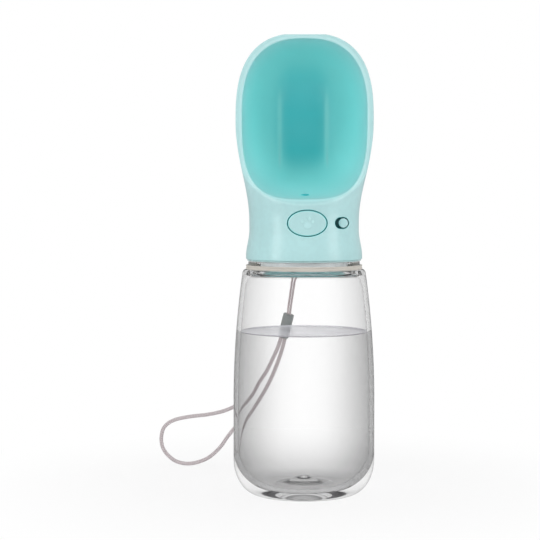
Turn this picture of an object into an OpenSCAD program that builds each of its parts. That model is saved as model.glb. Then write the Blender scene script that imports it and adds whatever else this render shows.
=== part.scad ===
// Dog travel water bottle: a clear screw-on bottle under a head with a scoop-shaped trough,
// a push key that opens a valve to the trough, a sliding lock and a wrist strap.
// Millimetres. Origin: centre of the bottle's foot on the ground. The key faces -Y, +Z is up.

/* [Bottle] */
// Radius of the straight part of the bottle
body_r = 34.65; // [33:0.05:37]
// Radius of the flat foot
foot_r = 23; // [20:0.5:25]
// Height of the rounded corner above the foot
corner_h = 17; // [12:0.5:20]
// Height at which the sides start to draw in
taper_z = 45; // [38:1:55]
// How far the sides draw in at the shoulder
taper = 4.35; // [3.5:0.05:5]
// Height of the shoulder ledge that carries the silicone ring
ledge_z = 110.6; // [108:0.1:114]
// Wall of the bottle
bottle_wall = 2.2; // [1.6:0.1:2.6]
// Thickness of the clear floor
floor_t = 3.4; // [2.5:0.1:4.5]
// Height of the dome pushed up in the floor
dome_h = 4; // [2:0.5:5]

/* [Neck and thread] */
// Radius of the clear collar on the shoulder
collar_r = 27.3; // [26.8:0.1:27.5]
// Height of the clear collar
collar_h = 3.8; // [3:0.1:5]
// Outer radius of the threaded neck
neck_r = 23.4; // [23.2:0.1:23.5]
// Wall of the neck
neck_wall = 1.6; // [1.4:0.1:1.8]
// Height of the neck above the collar
neck_h = 9.6; // [9:0.1:11]
// Rise of the thread in one turn
lead = 4; // [3.6:0.1:5]
// Height of the thread ridges
ridge = 0.7; // [0.5:0.05:0.75]
// Clearance between the head and the bottle
gap = 0.35; // [0.3:0.01:0.4]

/* [Head] */
// Outer radius of the head at its lower edge
edge_r = 28.45; // [28:0.05:29]
// Outer radius at the waist
waist_r = 26.8; // [26.5:0.05:27.5]
// Half of the head's greatest width
head_w = 33.3; // [32:0.1:34.5]
// Height of the waist
waist_z = 133; // [132:0.5:135]
// Height of the greatest width
wide_z = 182; // [178:1:188]
// Height of the flat top of the head
top_z = 223.8; // [220:0.2:228]
// Height of the outer edge of the drinking lip
lip_z = 142.3; // [142:0.1:144]
// Width of the rim around the trough
rim_w = 2.6; // [2:0.1:3]
// How far the head bulges behind the bottle's axis
back_y = 29.5; // [28:0.5:31]
// Setback of the rim behind the drinking lip
rim_set = 15.6; // [14:0.1:17]
// Wall of the head around the valve chamber
head_wall = 2.2; // [2:0.1:2.4]

/* [Key and valve] */
// Width of the oval key opening
key_w = 19.2; // [17:0.1:20]
// Height of the oval key opening
key_h = 12.8; // [11.5:0.1:13.2]
// Place of the key to the right of the axis
key_x = 1; // [0:0.1:1.5]
// Height of the key's axis
key_z = 133.5; // [133:0.1:134]
// Travel of the key
key_travel = 3; // [2:0.1:3.2]
// Gap around the key
key_gap = 0.35; // [0.3:0.01:0.5]
// Radius of the valve's rod
rod_r = 1.5; // [1.2:0.1:1.7]
// Running clearance of the rod in its bush
rod_fit = 0.06; // [0.03:0.01:0.09]
// Outer radius of the valve housing
housing_r = 5.4; // [5:0.1:5.6]
// Radius of the drinking outlet
outlet_r = 1.6; // [1.2:0.1:1.8]

/* [Lock] */
// Place of the lock slot to the right of the axis
slot_x = 17.7; // [17.5:0.05:17.9]
// Length of the lock slot
slot_w = 6.9; // [6.7:0.1:7.1]
// Height of the lock slot
slot_h = 5.5; // [5.3:0.1:6]
// Diameter of the lock knob
knob_d = 4.5; // [4.2:0.1:4.7]
// Travel of the lock
lock_travel = 1.5; // [1:0.1:1.5]

/* [Strap] */
// Diameter of the hanging string
string_d = 1.1; // [0.9:0.1:1.3]
// Diameter of the wrist loop's cord
strap_d = 2; // [1.6:0.1:2.2]
// Diameter of the bead
bead_d = 5.7; // [5.2:0.1:6.2]
// Length of the bead
bead_l = 12.6; // [11:0.1:14]

/* [Hidden] */
$fn = 64;

// Colours as the photograph shows them
mint = [0.69, 0.86, 0.87];
teal = [0.42, 0.74, 0.75];
clear = [0.86, 0.88, 0.9, 0.4];
silicone = [0.72, 0.71, 0.69];
steel = [0.75, 0.76, 0.78];
white = [0.9, 0.91, 0.91];
bead_grey = [0.51, 0.53, 0.52];
cord_pink = [0.84, 0.79, 0.8];

// Bottle and neck
collar_z = ledge_z + collar_h;
neck_z = collar_z + neck_h;
neck_bore = neck_r - neck_wall;
shoulder_z = ledge_z - 2.4;
shoulder_r = body_r - taper;
thread_w = 1.1;
bury = 0.3;

// Insert that closes the bottle
skirt_in = neck_r + ridge + gap;
skirt_wall = 1.05;
skirt_r = skirt_in + skirt_wall;
flange_z = collar_z + gap;
flange_t = 0.7;
roof_gap = 1.2;
roof_z = neck_z + roof_gap;
roof_t = 1.6;
deck_z = roof_z + roof_t;
plug_r = neck_bore - 0.3;
plug_wall = 1.2;
plug_z = ledge_z - 0.1;
seal_gap = 0.12;

// Head
shell_z = flange_z + flange_t + 0.05;
bond = 0.05;
chamber_r = waist_r - head_wall;
chamber_z = lip_z - 0.8;
belly_z = 175;
spread_z = lip_z - 4.3;
level_z = lip_z + 22.7;
rim_y = -11.5;
rim_lean = 2.5;
lip_in_z = lip_z + rim_w;
mouth_r = head_w - 3.1;
mouth_z = 185;
mouth_top = top_z - 2;
scoop_y = -24.5;
scoop_d = back_y - rim_w - scoop_y;
scoop_h = mouth_z - lip_in_z;
outlet_x = 0.5;
outlet_y = -8.5;
outlet_top = chamber_z - 1;

// Lock
knob_x = slot_x - slot_w / 2 + 0.3 + knob_d / 2 + lock_travel;
plate_y = -13;
plate_back = 1.2;
lock_h = 6.4;
lock_left = key_x + key_w / 2 + 0.1;
lock_right = 20.2;

// Key, rod and valve, all on one axis along Y
key_rear_y = plate_y - 0.3 - key_travel;
key_skin = 1.6;
key_wall = 1.2;
housing_y0 = -12.6;
housing_y1 = 14;
housing_bore = housing_r - 1.2;
bush_l = 2.4;
oring_r = 0.7;
seat_y = -1;
seat_t = 1.4;
seat_r = 2.6;
seal_t = 2;
plate_t = 1;
cap_t = 1.6;
cap_plug = 2;
spring_r = 2.9;
spring_wire = 0.35;
inlet_y = 5;
port_r = 3.2;
port_bore = 2;
ear_x = 8.6;
ear_y = 1.5;
ear_r = 2.6;
ear_t = 1.6;
boss_h = 3.4;
screw_r = 1;

// Strap
lug_x = -4.5;
lug_t = 2.4;
eye_y = 31.4;
eye_z = 121;
eye_r = 1.5;
lug_r = 2.9;
bead_top = [-7.1, 36.4, 85.7];
bead_low = [-10.1, 37.6, 73.5];
string_in = 3;
loop_in = 3;

function blend(t) = (1 - cos(180 * min(1, max(0, t)))) / 2;
function spow(v, e) = sign(v) * pow(abs(v), e);
function unit(v) = v / norm(v);
function hyp(t, n) = pow(max(0, 1 - pow(min(1, max(0, t)), n)), 1 / n);

// Outer radius of the bottle at a height above the rounded corner
function bottle_r(z) = body_r - taper * pow(max(0, z - taper_z) / (shoulder_z - taper_z), 2);
// Corner: a quarter ellipse from the foot to the straight side
function corner(a) = [foot_r + (body_r - foot_r) * sin(a), corner_h * (1 - cos(a))];

// Half width of the head: drawn in to the waist, out to the widest place, round to the top
crown_w_h = top_z + 0.6 - wide_z;
function head_half(z) =
  z < waist_z ? edge_r - (edge_r - waist_r) * blend((z - shell_z - 1.5) / 13)
  : z < wide_z ? waist_r + (head_w - waist_r) * blend((z - waist_z) / (wide_z - waist_z))
  : head_w * hyp((z - wide_z) / crown_w_h, 2.7);
// Back of the head: follows the waist, bulges, then comes over to the top of the rim
function head_back(z) =
  z < waist_z ? head_half(z)
  : z < belly_z ? waist_r + (back_y - waist_r) * blend((z - waist_z) / (belly_z - waist_z))
  : rim_top_y + (back_y - rim_top_y) * hyp((z - belly_z) / (top_z + 0.6 - belly_z), 2.3);
rim_top_y = rim_y - rim_lean;
// Depth of the rim, seen from the side: swept back from the lip, then rising to the top
function rim_at(z) =
  z < lip_z ? -2 * edge_r
  : z < level_z ? rim_y - rim_set * pow(1 - min(1, max(0, z - lip_z) / (level_z - lip_z)), 2.4)
  : rim_y - rim_lean * pow((z - level_z) / (top_z - level_z), 1.5);
// Depth at which a level of the head is widest
function head_mid(z) = z < level_z ? rim_y * blend((z - spread_z) / (level_z - spread_z)) : rim_at(z);
function head_pow(z) = 2 + 0.2 * blend((z - waist_z) / 30);

// One level of the head, as a closed ring: a rounded back and a front cut at the rim
ARC = 26;
FRONT = 8;
function front_y(x, w, mid, deep, n) = mid - deep * hyp(abs(x) / w, n);
function level_ring(z, w, back, mid, deep, cut, n) =
  let (s = min(0.985, max(0.001, (mid - cut) / deep)), xc = w * hyp(s, n), f = asin(pow(s, n / 2)))
  concat(
    [for (i = [0:ARC]) let (a = -f + (180 + 2 * f) * i / ARC)
      [w * spow(cos(a), 2 / n), mid + (sin(a) < 0 ? deep : back - mid) * spow(sin(a), 2 / n), z]],
    [for (i = [1:FRONT - 1]) let (x = -xc + 2 * xc * i / FRONT)
      [x, max(cut, front_y(x, w, mid, deep, n)), z]]);
function head_ring(z, inset) =
  let (w = head_half(z) - inset, mid = head_mid(z), deep = max(1.5, edge_front(z) + mid - inset))
  level_ring(z, w, head_back(z) - inset, mid, deep, max(rim_at(z), mid - deep * 0.9999), head_pow(z));
function edge_front(z) = z < lip_z ? head_half(z) : head_half(lip_z);

// Closed solid from rings of equal length; its ends are fans from a point on the round side
module lofted(rings) {
  n = len(rings[0]);
  m = len(rings);
  fan = floor(n / 3);
  polyhedron(
    points = [for (r = rings) for (p = r) p],
    faces = concat(
      [[for (i = [0:n - 1]) (i + fan) % n]],
      [for (k = [0:m - 2]) for (i = [0:n - 1]) [k * n + i, (k + 1) * n + i, (k + 1) * n + (i + 1) % n]],
      [for (k = [0:m - 2]) for (i = [0:n - 1]) [k * n + i, (k + 1) * n + (i + 1) % n, k * n + (i + 1) % n]],
      [[for (i = [n - 1:-1:0]) (m - 1) * n + (i + fan) % n]]),
    convexity = 6);
}

// Trough: half width and depth of the hollow at a height
function trough_half(z) =
  z < mouth_z ? mouth_r * hyp((mouth_z - z) / scoop_h, 3.2)
  : mouth_r * hyp((z - mouth_z) / (mouth_top - mouth_z), 2.55);
function trough_back(z) =
  z < mouth_z ? scoop_y + scoop_d * hyp((mouth_z - z) / scoop_h, 2)
  : rim_top_y + (back_y - rim_w - rim_top_y) * hyp((z - mouth_z) / (mouth_top + 0.4 - mouth_z), 2.2);
TROUGH = 24;
function trough_ring(z) =
  let (w = trough_half(z), y0 = rim_at(z), d = max(0.6, trough_back(z) - y0))
  concat(
    [for (i = [0:TROUGH]) let (a = 180 * i / TROUGH) [w * spow(cos(a), 0.9), y0 + d * spow(sin(a), 0.9), z]],
    [[-w, -40, z], [w, -40, z]]);

// Levels closer together near both ends
function levels(z0, z1, n, e) = [for (i = [0:n]) z0 + (z1 - z0) * pow(i / n, e)];
lower_levels = levels(shell_z, lip_z, 6, 1);
middle_levels = levels(lip_z + 0.7, wide_z, 11, 1.35);
upper_levels = [for (i = [1:10]) wide_z + (top_z - wide_z) * sin(90 * i / 10)];
trough_low = levels(lip_in_z + 0.05, mouth_z, 10, 1.9);
trough_high = [for (i = [1:8]) mouth_z + (mouth_top - 0.05 - mouth_z) * sin(90 * i / 8)];

module oval(w, h) {
  polygon([for (i = [0:47]) [w / 2 * cos(i * 7.5), h / 2 * sin(i * 7.5)]]);
}

// Extrudes a drawing made in X and Z along Y, from y0 to y1
module along_y(y0, y1) {
  translate([0, y1, 0]) rotate([90, 0, 0]) linear_extrude(height = y1 - y0) children();
}

// Round bar along Y on the key's axis
module key_rod(r, y0, y1) {
  translate([key_x, y0, key_z]) rotate([-90, 0, 0]) cylinder(r = r, h = y1 - y0);
}

// Right-hand helical ridge on a cylinder, tapering out at both ends
module helix_ridge(root, tip, z0, turns, start) {
  steps = round(turns * 36);
  function end_taper(i) = min(1, min(i, steps - i) / 4 + 0.15);
  function section(i) =
    let (a = start + 360 * turns * i / steps, z = z0 + lead * turns * i / steps,
         r = root + (tip - root) * end_taper(i), w = thread_w / 2, b = root - sign(tip - root) * bury)
    [for (p = [[b, -w], [r, -w / 2], [r, w / 2], [b, w]]) [p[0] * cos(a), p[0] * sin(a), z + p[1]]];
  function ordered(i) = tip < root ? section(i) : [for (j = [3:-1:0]) section(i)[j]];
  swept([for (i = [0:steps]) ordered(i)]);
}

// Solid swept through rings of points that turn anticlockwise about the way they are swept
module swept(rings) {
  n = len(rings[0]);
  m = len(rings);
  polyhedron(
    points = [for (r = rings) for (p = r) p],
    faces = concat(
      [for (i = [1:n - 2]) [0, i, i + 1]],
      [for (k = [0:m - 2]) for (i = [0:n - 1]) [k * n + i, (k + 1) * n + i, (k + 1) * n + (i + 1) % n]],
      [for (k = [0:m - 2]) for (i = [0:n - 1]) [k * n + i, (k + 1) * n + (i + 1) % n, k * n + (i + 1) % n]],
      [for (i = [1:n - 2]) [(m - 1) * n, (m - 1) * n + i + 1, (m - 1) * n + i]]),
    convexity = 10);
}

// Smooth curve through route points, and a round tube along it
function curve_at(p, i, t) =
  let (n = len(p) - 1, a = p[max(0, i - 1)], b = p[i], c = p[min(n, i + 1)], d = p[min(n, i + 2)])
  0.5 * (2 * b + (c - a) * t + (2 * a - 5 * b + 4 * c - d) * t * t + (3 * b - a - 3 * c + d) * t * t * t);
function smooth(p, per) = concat(
  [for (i = [0:len(p) - 2]) for (k = [0:per - 1]) curve_at(p, i, k / per)], [p[len(p) - 1]]);
function heading(p, i) = unit(p[min(len(p) - 1, i + 1)] - p[max(0, i - 1)]);
function carry(p, i, n) = i == len(p) ? []
  : let (t = heading(p, i), u = unit(n - (n * t) * t)) concat([u], carry(p, i + 1, u));
module cord(p, d, sides = 8) {
  side = carry(p, 0, [0.3, 1, 0.1]);
  swept([for (i = [0:len(p) - 1]) let (t = heading(p, i), u = side[i], v = cross(t, u))
    [for (k = [0:sides - 1]) p[i] + d / 2 * (cos(360 * k / sides) * u + sin(360 * k / sides) * v)]]);
}

// Outline in radius and height of a closed ring with round edges
module round_bar(r0, r1, z0, z1, e) {
  polygon(concat(
    [for (a = [0:15:90]) [r1 - e + e * sin(a), z0 + e - e * cos(a)]],
    [for (a = [0:15:90]) [r1 - e + e * cos(a), z1 - e + e * sin(a)]],
    [for (a = [0:15:90]) [r0 + e - e * sin(a), z1 - e + e * cos(a)]],
    [for (a = [0:15:90]) [r0 + e - e * cos(a), z0 + e - e * sin(a)]]));
}

// ---- Bottle ----
module bottle() {
  outer = concat(
    [[0, dish_h]],
    [for (i = [1:5]) [dish_r * i / 5, dish_h * (1 - pow(i / 5, 2))]],
    [for (a = [0:7.5:90]) corner(a)],
    [for (z = [taper_z:6:shoulder_z - 1]) [bottle_r(z), z]],
    [for (a = [0:15:90]) [shoulder_r - 2 + 2 * cos(a), shoulder_z + 2.4 * sin(a)]],
    [[collar_r, ledge_z], [collar_r, collar_z - 0.3], [collar_r - 0.3, collar_z],
     [neck_r, collar_z], [neck_r, neck_z - 0.4], [neck_r - 0.4, neck_z]]);
  inner = concat(
    [[neck_bore, neck_z], [neck_bore, ledge_z - 1.8]],
    [for (a = [75:-15:0]) [shoulder_r - bottle_wall - 4 + 4 * cos(a), shoulder_z - 3.6 + 4 * sin(a)]],
    [for (z = [shoulder_z - 6:-6:taper_z - 2]) [bottle_r(z) - bottle_wall, z]],
    [for (a = [90:-7.5:15])
      [foot_r - 9 + (body_r - bottle_wall - foot_r + 9) * sin(a),
       floor_t + (corner_h + 2) * (1 - cos(a))]],
    [for (i = [4:-1:1]) [8 * i / 4 + 1, floor_t + dome_h * blend(1 - i / 4)]],
    [[0, floor_t + dome_h]]);
  color(clear) union() {
    rotate_extrude() polygon(concat(outer, inner));
    helix_ridge(neck_r, neck_r + ridge, collar_z + 2, 1.25, 0);
  }
}
dish_r = foot_r - 7;
dish_h = 1.6;

module collar_ring() {
  ring_h = 2.1;
  groove = 0.35;
  r1 = edge_r + 0.05;
  color(silicone) rotate_extrude() difference() {
    round_bar(collar_r + bond, r1, ledge_z, ledge_z + ring_h, 0.3);
    translate([r1, ledge_z + ring_h * 0.55]) circle(r = groove, $fn = 24);
  }
}

module mouth_seal() {
  color(silicone) rotate_extrude()
    round_bar(plug_r + 0.25, skirt_in - ridge - 0.15, neck_z + seal_gap, roof_z - seal_gap, 0.3);
}

// ---- Head ----
module head_shell() {
  color(mint) difference() {
    lofted([for (z = concat(lower_levels, middle_levels, upper_levels)) head_ring(z, 0)]);
    lofted([for (z = concat(trough_low, trough_high)) trough_ring(z)]);
    translate([0, 0, shell_z - 1]) cylinder(r = skirt_r + bond, h = deck_z - shell_z + 1);
    translate([0, 0, deck_z - 1]) cylinder(r = chamber_r, h = chamber_z - deck_z + 1);
    back_void();
    translate([key_x, 0, key_z]) along_y(-40, -10) oval(key_w, key_h);
    lock_slot();
    translate([outlet_x, outlet_y, chamber_z - 2]) cylinder(r = outlet_r, h = 9);
  }
}

// Hollow between the sloping back of the trough and the back of the head
module back_void() {
  skin = 3;
  rise = levels(chamber_z - 2, lip_z + 20, 7, 1);
  function void_ring(z) =
    let (y0 = max(-2, trough_back(z + skin) + 1), y1 = head_back(z) - skin, mid = head_mid(z),
         w = 0.9 * (head_half(z) - skin) * hyp((y0 - mid) / (y1 + 1 - mid), 2))
    [for (i = [0:16]) let (a = 180 * i / 16) [w * cos(a), y0 + (y1 - y0) * pow(sin(a), 0.9), z]];
  lofted([for (z = rise) void_ring(z)]);
}

module lock_slot() {
  r = slot_h / 2;
  s = slot_w / 2 - r;
  translate([slot_x, 0, key_z]) along_y(-40, -10) union() {
    translate([-s, 0]) circle(r = r);
    translate([s, 0]) circle(r = r);
    square([2 * s, slot_h], center = true);
  }
}

// Cup that screws on the neck: flange, threaded skirt, roof and the tube inside the mouth
module lid_insert() {
  rib_z = collar_z + 2;
  color(teal) union() {
    difference() {
      union() {
        rotate_extrude() polygon([
          [plug_r - plug_wall, plug_z + 0.6], [plug_r - 0.4, plug_z], [plug_r, plug_z + 0.8],
          [plug_r, roof_z], [skirt_in, roof_z], [skirt_in, flange_z], [edge_r - 0.6, flange_z],
          [edge_r - 0.6, flange_z + flange_t], [skirt_r, flange_z + flange_t], [skirt_r, deck_z],
          [0, deck_z], [0, roof_z], [plug_r - plug_wall, roof_z]]);
        for (s = [-1, 1]) translate([key_x + s * ear_x, ear_y, deck_z - 0.5])
          cylinder(r = ear_r, h = boss_h + 0.5);
      }
      translate([key_x, inlet_y, roof_z - 1]) cylinder(r = port_bore, h = roof_t + 2);
      for (s = [-1, 1]) translate([key_x + s * ear_x, ear_y, deck_z])
        cylinder(r = screw_r, h = boss_h + 1);
    }
    helix_ridge(skirt_in, skirt_in - ridge, rib_z, 1.25, 180);
  }
}

module key_guide() {
  rim = 1.3;
  color(white) intersection() {
    translate([key_x, 0, key_z]) along_y(-head_w, key_rear_y - 0.7) difference() {
      oval(key_w + 2 * rim, key_h + 2 * rim);
      oval(key_w, key_h);
    }
    translate([0, 0, deck_z + bond]) cylinder(r = chamber_r - bond, h = chamber_z - deck_z);
  }
}

// ---- Valve ----
port_seat = 0.5;
module valve_housing() {
  floor_z = deck_z + port_seat;
  color(white) difference() {
    union() {
      key_rod(housing_r, housing_y0, housing_y1);
      translate([key_x, inlet_y, floor_z]) cylinder(r = port_r, h = key_z - floor_z);
      translate([outlet_x, outlet_y, key_z]) cylinder(r = port_r - 0.4, h = outlet_top - key_z);
      for (s = [-1, 1]) translate([key_x + s * ear_x, ear_y, deck_z + boss_h])
        cylinder(r = ear_r, h = ear_t);
      translate([key_x - ear_x, ear_y - ear_r, deck_z + boss_h]) cube([2 * ear_x, 2 * ear_r, ear_t]);
    }
    key_rod(housing_bore, housing_y0 - 1, seat_y - seat_t);
    key_rod(seat_r, seat_y - seat_t - 1, seat_y + 1);
    key_rod(housing_bore, seat_y, housing_y1 + 1);
    translate([key_x, inlet_y, floor_z - 1]) cylinder(r = port_bore, h = key_z - floor_z + 1);
    translate([outlet_x, outlet_y, key_z]) cylinder(r = outlet_r, h = outlet_top - key_z + 1);
    for (s = [-1, 1]) translate([key_x + s * ear_x, ear_y, deck_z])
      cylinder(r = screw_r, h = boss_h + ear_t + 1);
  }
}

module housing_cap() {
  color(white) union() {
    key_rod(housing_r, housing_y1, housing_y1 + cap_t);
    key_rod(housing_bore - bond, housing_y1 - cap_plug, housing_y1 + 0.5);
  }
}

module housing_screws() {
  head_z = deck_z + boss_h + ear_t;
  color(steel) for (s = [-1, 1]) translate([key_x + s * ear_x, ear_y, 0]) difference() {
    union() {
      translate([0, 0, deck_z + 0.3]) cylinder(r = screw_r - 0.03, h = boss_h + ear_t);
      translate([0, 0, head_z]) cylinder(r = 2, h = 1.2);
    }
    translate([0, 0, head_z + 0.6]) cube([0.5, 2.4, 1.4], center = true);
    translate([0, 0, head_z + 0.6]) cube([2.4, 0.5, 1.4], center = true);
  }
}

module inlet_seal() {
  color(silicone) translate([key_x, inlet_y, deck_z]) difference() {
    cylinder(r = port_r, h = port_seat);
    translate([0, 0, -1]) cylinder(r = port_bore, h = port_seat + 2);
  }
}

module outlet_seal() {
  h = chamber_z - outlet_top;
  color(silicone) translate([outlet_x, outlet_y, outlet_top]) difference() {
    cylinder(r = port_r - 0.4, h = h);
    translate([0, 0, -1]) cylinder(r = outlet_r, h = h + 2);
  }
}

module rod_bush() {
  color(teal) difference() {
    union() {
      key_rod(housing_bore - bond, housing_y0 + 0.2, housing_y0 + bush_l);
      key_rod(housing_r, housing_y0 - 0.3, housing_y0);
      key_rod(housing_bore - bond, housing_y0 - 0.2, housing_y0 + 0.5);
    }
    key_rod(rod_r + rod_fit, housing_y0 - 2, housing_y0 + bush_l + 1);
  }
}

module bush_seal() {
  color(silicone) translate([key_x, housing_y0 + bush_l + oring_r, key_z]) rotate([-90, 0, 0])
    rotate_extrude() translate([rod_r + rod_fit + oring_r, 0]) circle(r = oring_r, $fn = 24);
}

rod_front = -chamber_r;
seal_y = seat_y + 0.1;
plate_at = seal_y + seal_t;
clip_at = plate_at + plate_t;
rod_end = clip_at + 1.6;

module water_key() {
  face_r = waist_r + 0.1;
  slim = 2 * key_gap;
  color(mint) union() {
    intersection() {
      translate([key_x, 0, key_z]) along_y(-head_w, key_rear_y) oval(key_w - slim, key_h - slim);
      difference() {
        translate([0, 0, key_z - key_w]) cylinder(r = face_r, h = 2 * key_w);
        difference() {
          translate([0, 0, key_z - key_w - 1]) cylinder(r = face_r - key_skin, h = 2 * key_w + 2);
          translate([key_x, 0, key_z]) along_y(-head_w, 0) difference() {
            square([3 * key_w, 3 * key_w], center = true);
            oval(key_w - slim - 2 * key_wall, key_h - slim - 2 * key_wall);
          }
        }
      }
    }
    difference() {
      key_rod(rod_r + 1.3, key_skin - face_r - 0.3, key_rear_y - 2);
      key_rod(rod_r, rod_front, 0);
    }
  }
}

module plunger_rod() {
  color(white) difference() {
    key_rod(rod_r, rod_front, rod_end);
    translate([key_x, clip_at + 0.5, key_z]) rotate([-90, 0, 0]) difference() {
      cylinder(r = rod_r + 1, h = 0.5);
      translate([0, 0, -1]) cylinder(r = rod_r - 0.4, h = 3);
    }
  }
}

module washer_y(r0, r1, y0, y1) {
  difference() {
    key_rod(r1, y0, y1);
    key_rod(r0, y0 - 1, y1 + 1);
  }
}
module valve_seal() {
  color(silicone) washer_y(rod_r, housing_bore - 0.6, seal_y, plate_at);
}
module spring_plate() {
  color(steel) washer_y(rod_r, spring_r + 0.6, plate_at, clip_at);
}
// Clip in the rod's groove: a ring with a gap on its lower side
module rod_clip() {
  color(steel) difference() {
    washer_y(rod_r - 0.4, spring_r - spring_wire - 0.25, clip_at + 0.5, clip_at + 1);
    translate([key_x - 0.6, clip_at, key_z - 4]) cube([1.2, 3, 4]);
  }
}

module valve_spring() {
  turns = 6;
  y0 = clip_at + spring_wire + 0.05;
  y1 = housing_y1 - cap_plug - spring_wire - 0.05;
  per = 10;
  color(steel) cord([for (i = [0:turns * per])
    [key_x + spring_r * cos(360 * i / per), y0 + (y1 - y0) * i / (turns * per),
     key_z + spring_r * sin(360 * i / per)]], 2 * spring_wire, 6);
}

// ---- Lock ----
module lock_slider() {
  z0 = key_z - lock_h / 2;
  face = -sqrt(waist_r * waist_r - knob_x * knob_x) - 0.9;
  color(mint) union() {
    translate([lock_left + 0.35, plate_y, z0]) cube([lock_right - lock_left - 0.35, plate_back, lock_h]);
    translate([knob_x, plate_y + 0.2, key_z]) rotate([90, 0, 0])
      cylinder(r = knob_d / 2, h = plate_y + 0.2 - face - 0.4);
    translate([knob_x, face + 0.4, key_z]) rotate([90, 0, 0])
      cylinder(r1 = knob_d / 2, r2 = knob_d / 2 - 0.4, h = 0.4);
  }
}

// Track behind the slider: a back plate with a rail above and one below
module lock_guide() {
  back = plate_y + plate_back + 0.3;
  rail = 1.2;
  z0 = key_z - lock_h / 2 - 0.3 - rail;
  h = lock_h + 0.6 + 2 * rail;
  x0 = lock_left + 1.5;
  color(white) intersection() {
    union() {
      translate([x0, back, z0]) cube([12, 1.2, h]);
      for (z = [z0, z0 + h - rail]) translate([x0, -17.5, z]) cube([12, 18 + back, rail]);
    }
    translate([0, 0, key_z - 20]) cylinder(r = chamber_r - bond, h = 40);
    translate([0, -30, key_z - 20]) cube([40, 31.2 + back, 40]);
  }
}

// ---- Strap ----
module strap_lug() {
  foot_y = sqrt(pow(head_half(eye_z), 2) - lug_x * lug_x);
  color(mint) difference() {
    union() {
      translate([lug_x - lug_t / 2, 0, 0]) rotate([90, 0, 90]) linear_extrude(height = lug_t) union() {
        translate([eye_y, eye_z]) circle(r = lug_r);
        polygon([[foot_y - 1, eye_z - 4.4], [eye_y, eye_z - lug_r], [eye_y, eye_z + lug_r],
                 [foot_y - 1, eye_z + 6]]);
      }
    }
    translate([lug_x - lug_t, eye_y, eye_z]) rotate([0, 90, 0]) cylinder(r = eye_r, h = 3 * lug_t);
    translate([0, 0, eye_z - 20]) cylinder(r1 = head_half(eye_z - 4.4) + 0.4,
                                           r2 = head_half(eye_z - 4.4) + 0.4, h = 40);
  }
}

bead_dir = unit(bead_top - bead_low);
string_end = bead_top - bead_dir * string_in;
side_x = [0.62, 0, 0];
// Up one side of the lug, through its eye and down the other side
string_route = [
  string_end - side_x, bead_top - side_x, [-7.3, 36.2, 90], [-6.4, 35.6, 96], [-5.7, 34.8, 102],
  [-5.3, 33.7, 108], [-6, 32.6, 113.5], [-6.6, 31.6, 118],
  [-6.2, 31.4, 120.3], [-4.5, 31.4, 121.2], [-2.8, 31.4, 120.3],
  [-2.4, 31.6, 118], [-3, 32.6, 113.5], [-3.7, 33.7, 108],
  [-4.3, 34.8, 102], [-5.1, 35.6, 96], [-6, 36.2, 90], bead_top + side_x, string_end + side_x];
// Down from the bead behind the bottle, out to the left, round on the ground and back
loop_end = bead_low + bead_dir * loop_in;
loop_route = [
  loop_end - [1.1, 0, 0], bead_low - [1.1, 0, 0], [-13, 38.5, 68], [-15.5, 39.5, 62.5],
  [-19, 41, 55.5], [-23, 43.5, 49.5], [-26.5, 46.5, 43.5], [-31, 50.5, 38.5], [-36, 55, 35],
  [-42, 60, 32], [-50, 66, 29.5], [-57.5, 71, 28], [-64, 74.5, 26.5], [-68.5, 76.5, 25],
  [-72, 77.5, 23], [-74.5, 78.5, 20], [-75.5, 78.5, 16], [-75.5, 79, 12.5], [-74.5, 79, 9],
  [-72, 79, 5.5], [-68, 78.5, 2.5], [-63.5, 78.5, 1.2], [-59.5, 78, 1.2], [-55, 77, 2.3],
  [-50.5, 75, 4.5], [-47, 72, 7.5], [-43, 68.5, 12], [-39.5, 64.5, 17.5], [-36, 60.5, 22.5],
  [-32, 56, 28], [-27, 52, 34], [-22, 47.5, 41.5], [-17.5, 44, 49.5], [-14, 41, 57.5],
  [-11, 39, 66], bead_low + [1.1, 0, 0], loop_end + [1.1, 0, 0]];

module strap_string() {
  color(cord_pink) cord(smooth(string_route, 2), string_d);
}
module strap_loop() {
  color(cord_pink) cord(smooth(loop_route, 2), strap_d);
}
module strap_bead() {
  tilt = acos(bead_dir[2]);
  turn = atan2(bead_dir[1], bead_dir[0]);
  e = 1.2;
  color(bead_grey) translate(bead_low) rotate([0, tilt, turn]) rotate_extrude() polygon(concat(
    [[0, 0]],
    [for (a = [0:15:90]) [bead_d / 2 - e + e * sin(a), e - e * cos(a)]],
    [for (a = [0:15:90]) [bead_d / 2 - e + e * cos(a), bead_l - e + e * sin(a)]],
    [[0, bead_l]]));
}

bottle();
collar_ring();
mouth_seal();
head_shell();
lid_insert();
key_guide();
valve_housing();
housing_cap();
housing_screws();
inlet_seal();
outlet_seal();
rod_bush();
bush_seal();
water_key();
plunger_rod();
valve_seal();
spring_plate();
rod_clip();
valve_spring();
lock_slider();
lock_guide();
strap_lug();
strap_string();
strap_bead();
strap_loop();
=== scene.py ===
"""Looks of a dog travel water bottle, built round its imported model.

Sizes are in millimetres while a shape is worked out, and in metres once it is a mesh. The origin is
the middle of the bottle's foot on the ground, +Z is up and the push key faces -Y.
"""

import logging
import math
from collections.abc import Sequence
from dataclasses import dataclass, field
from enum import Enum

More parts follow.
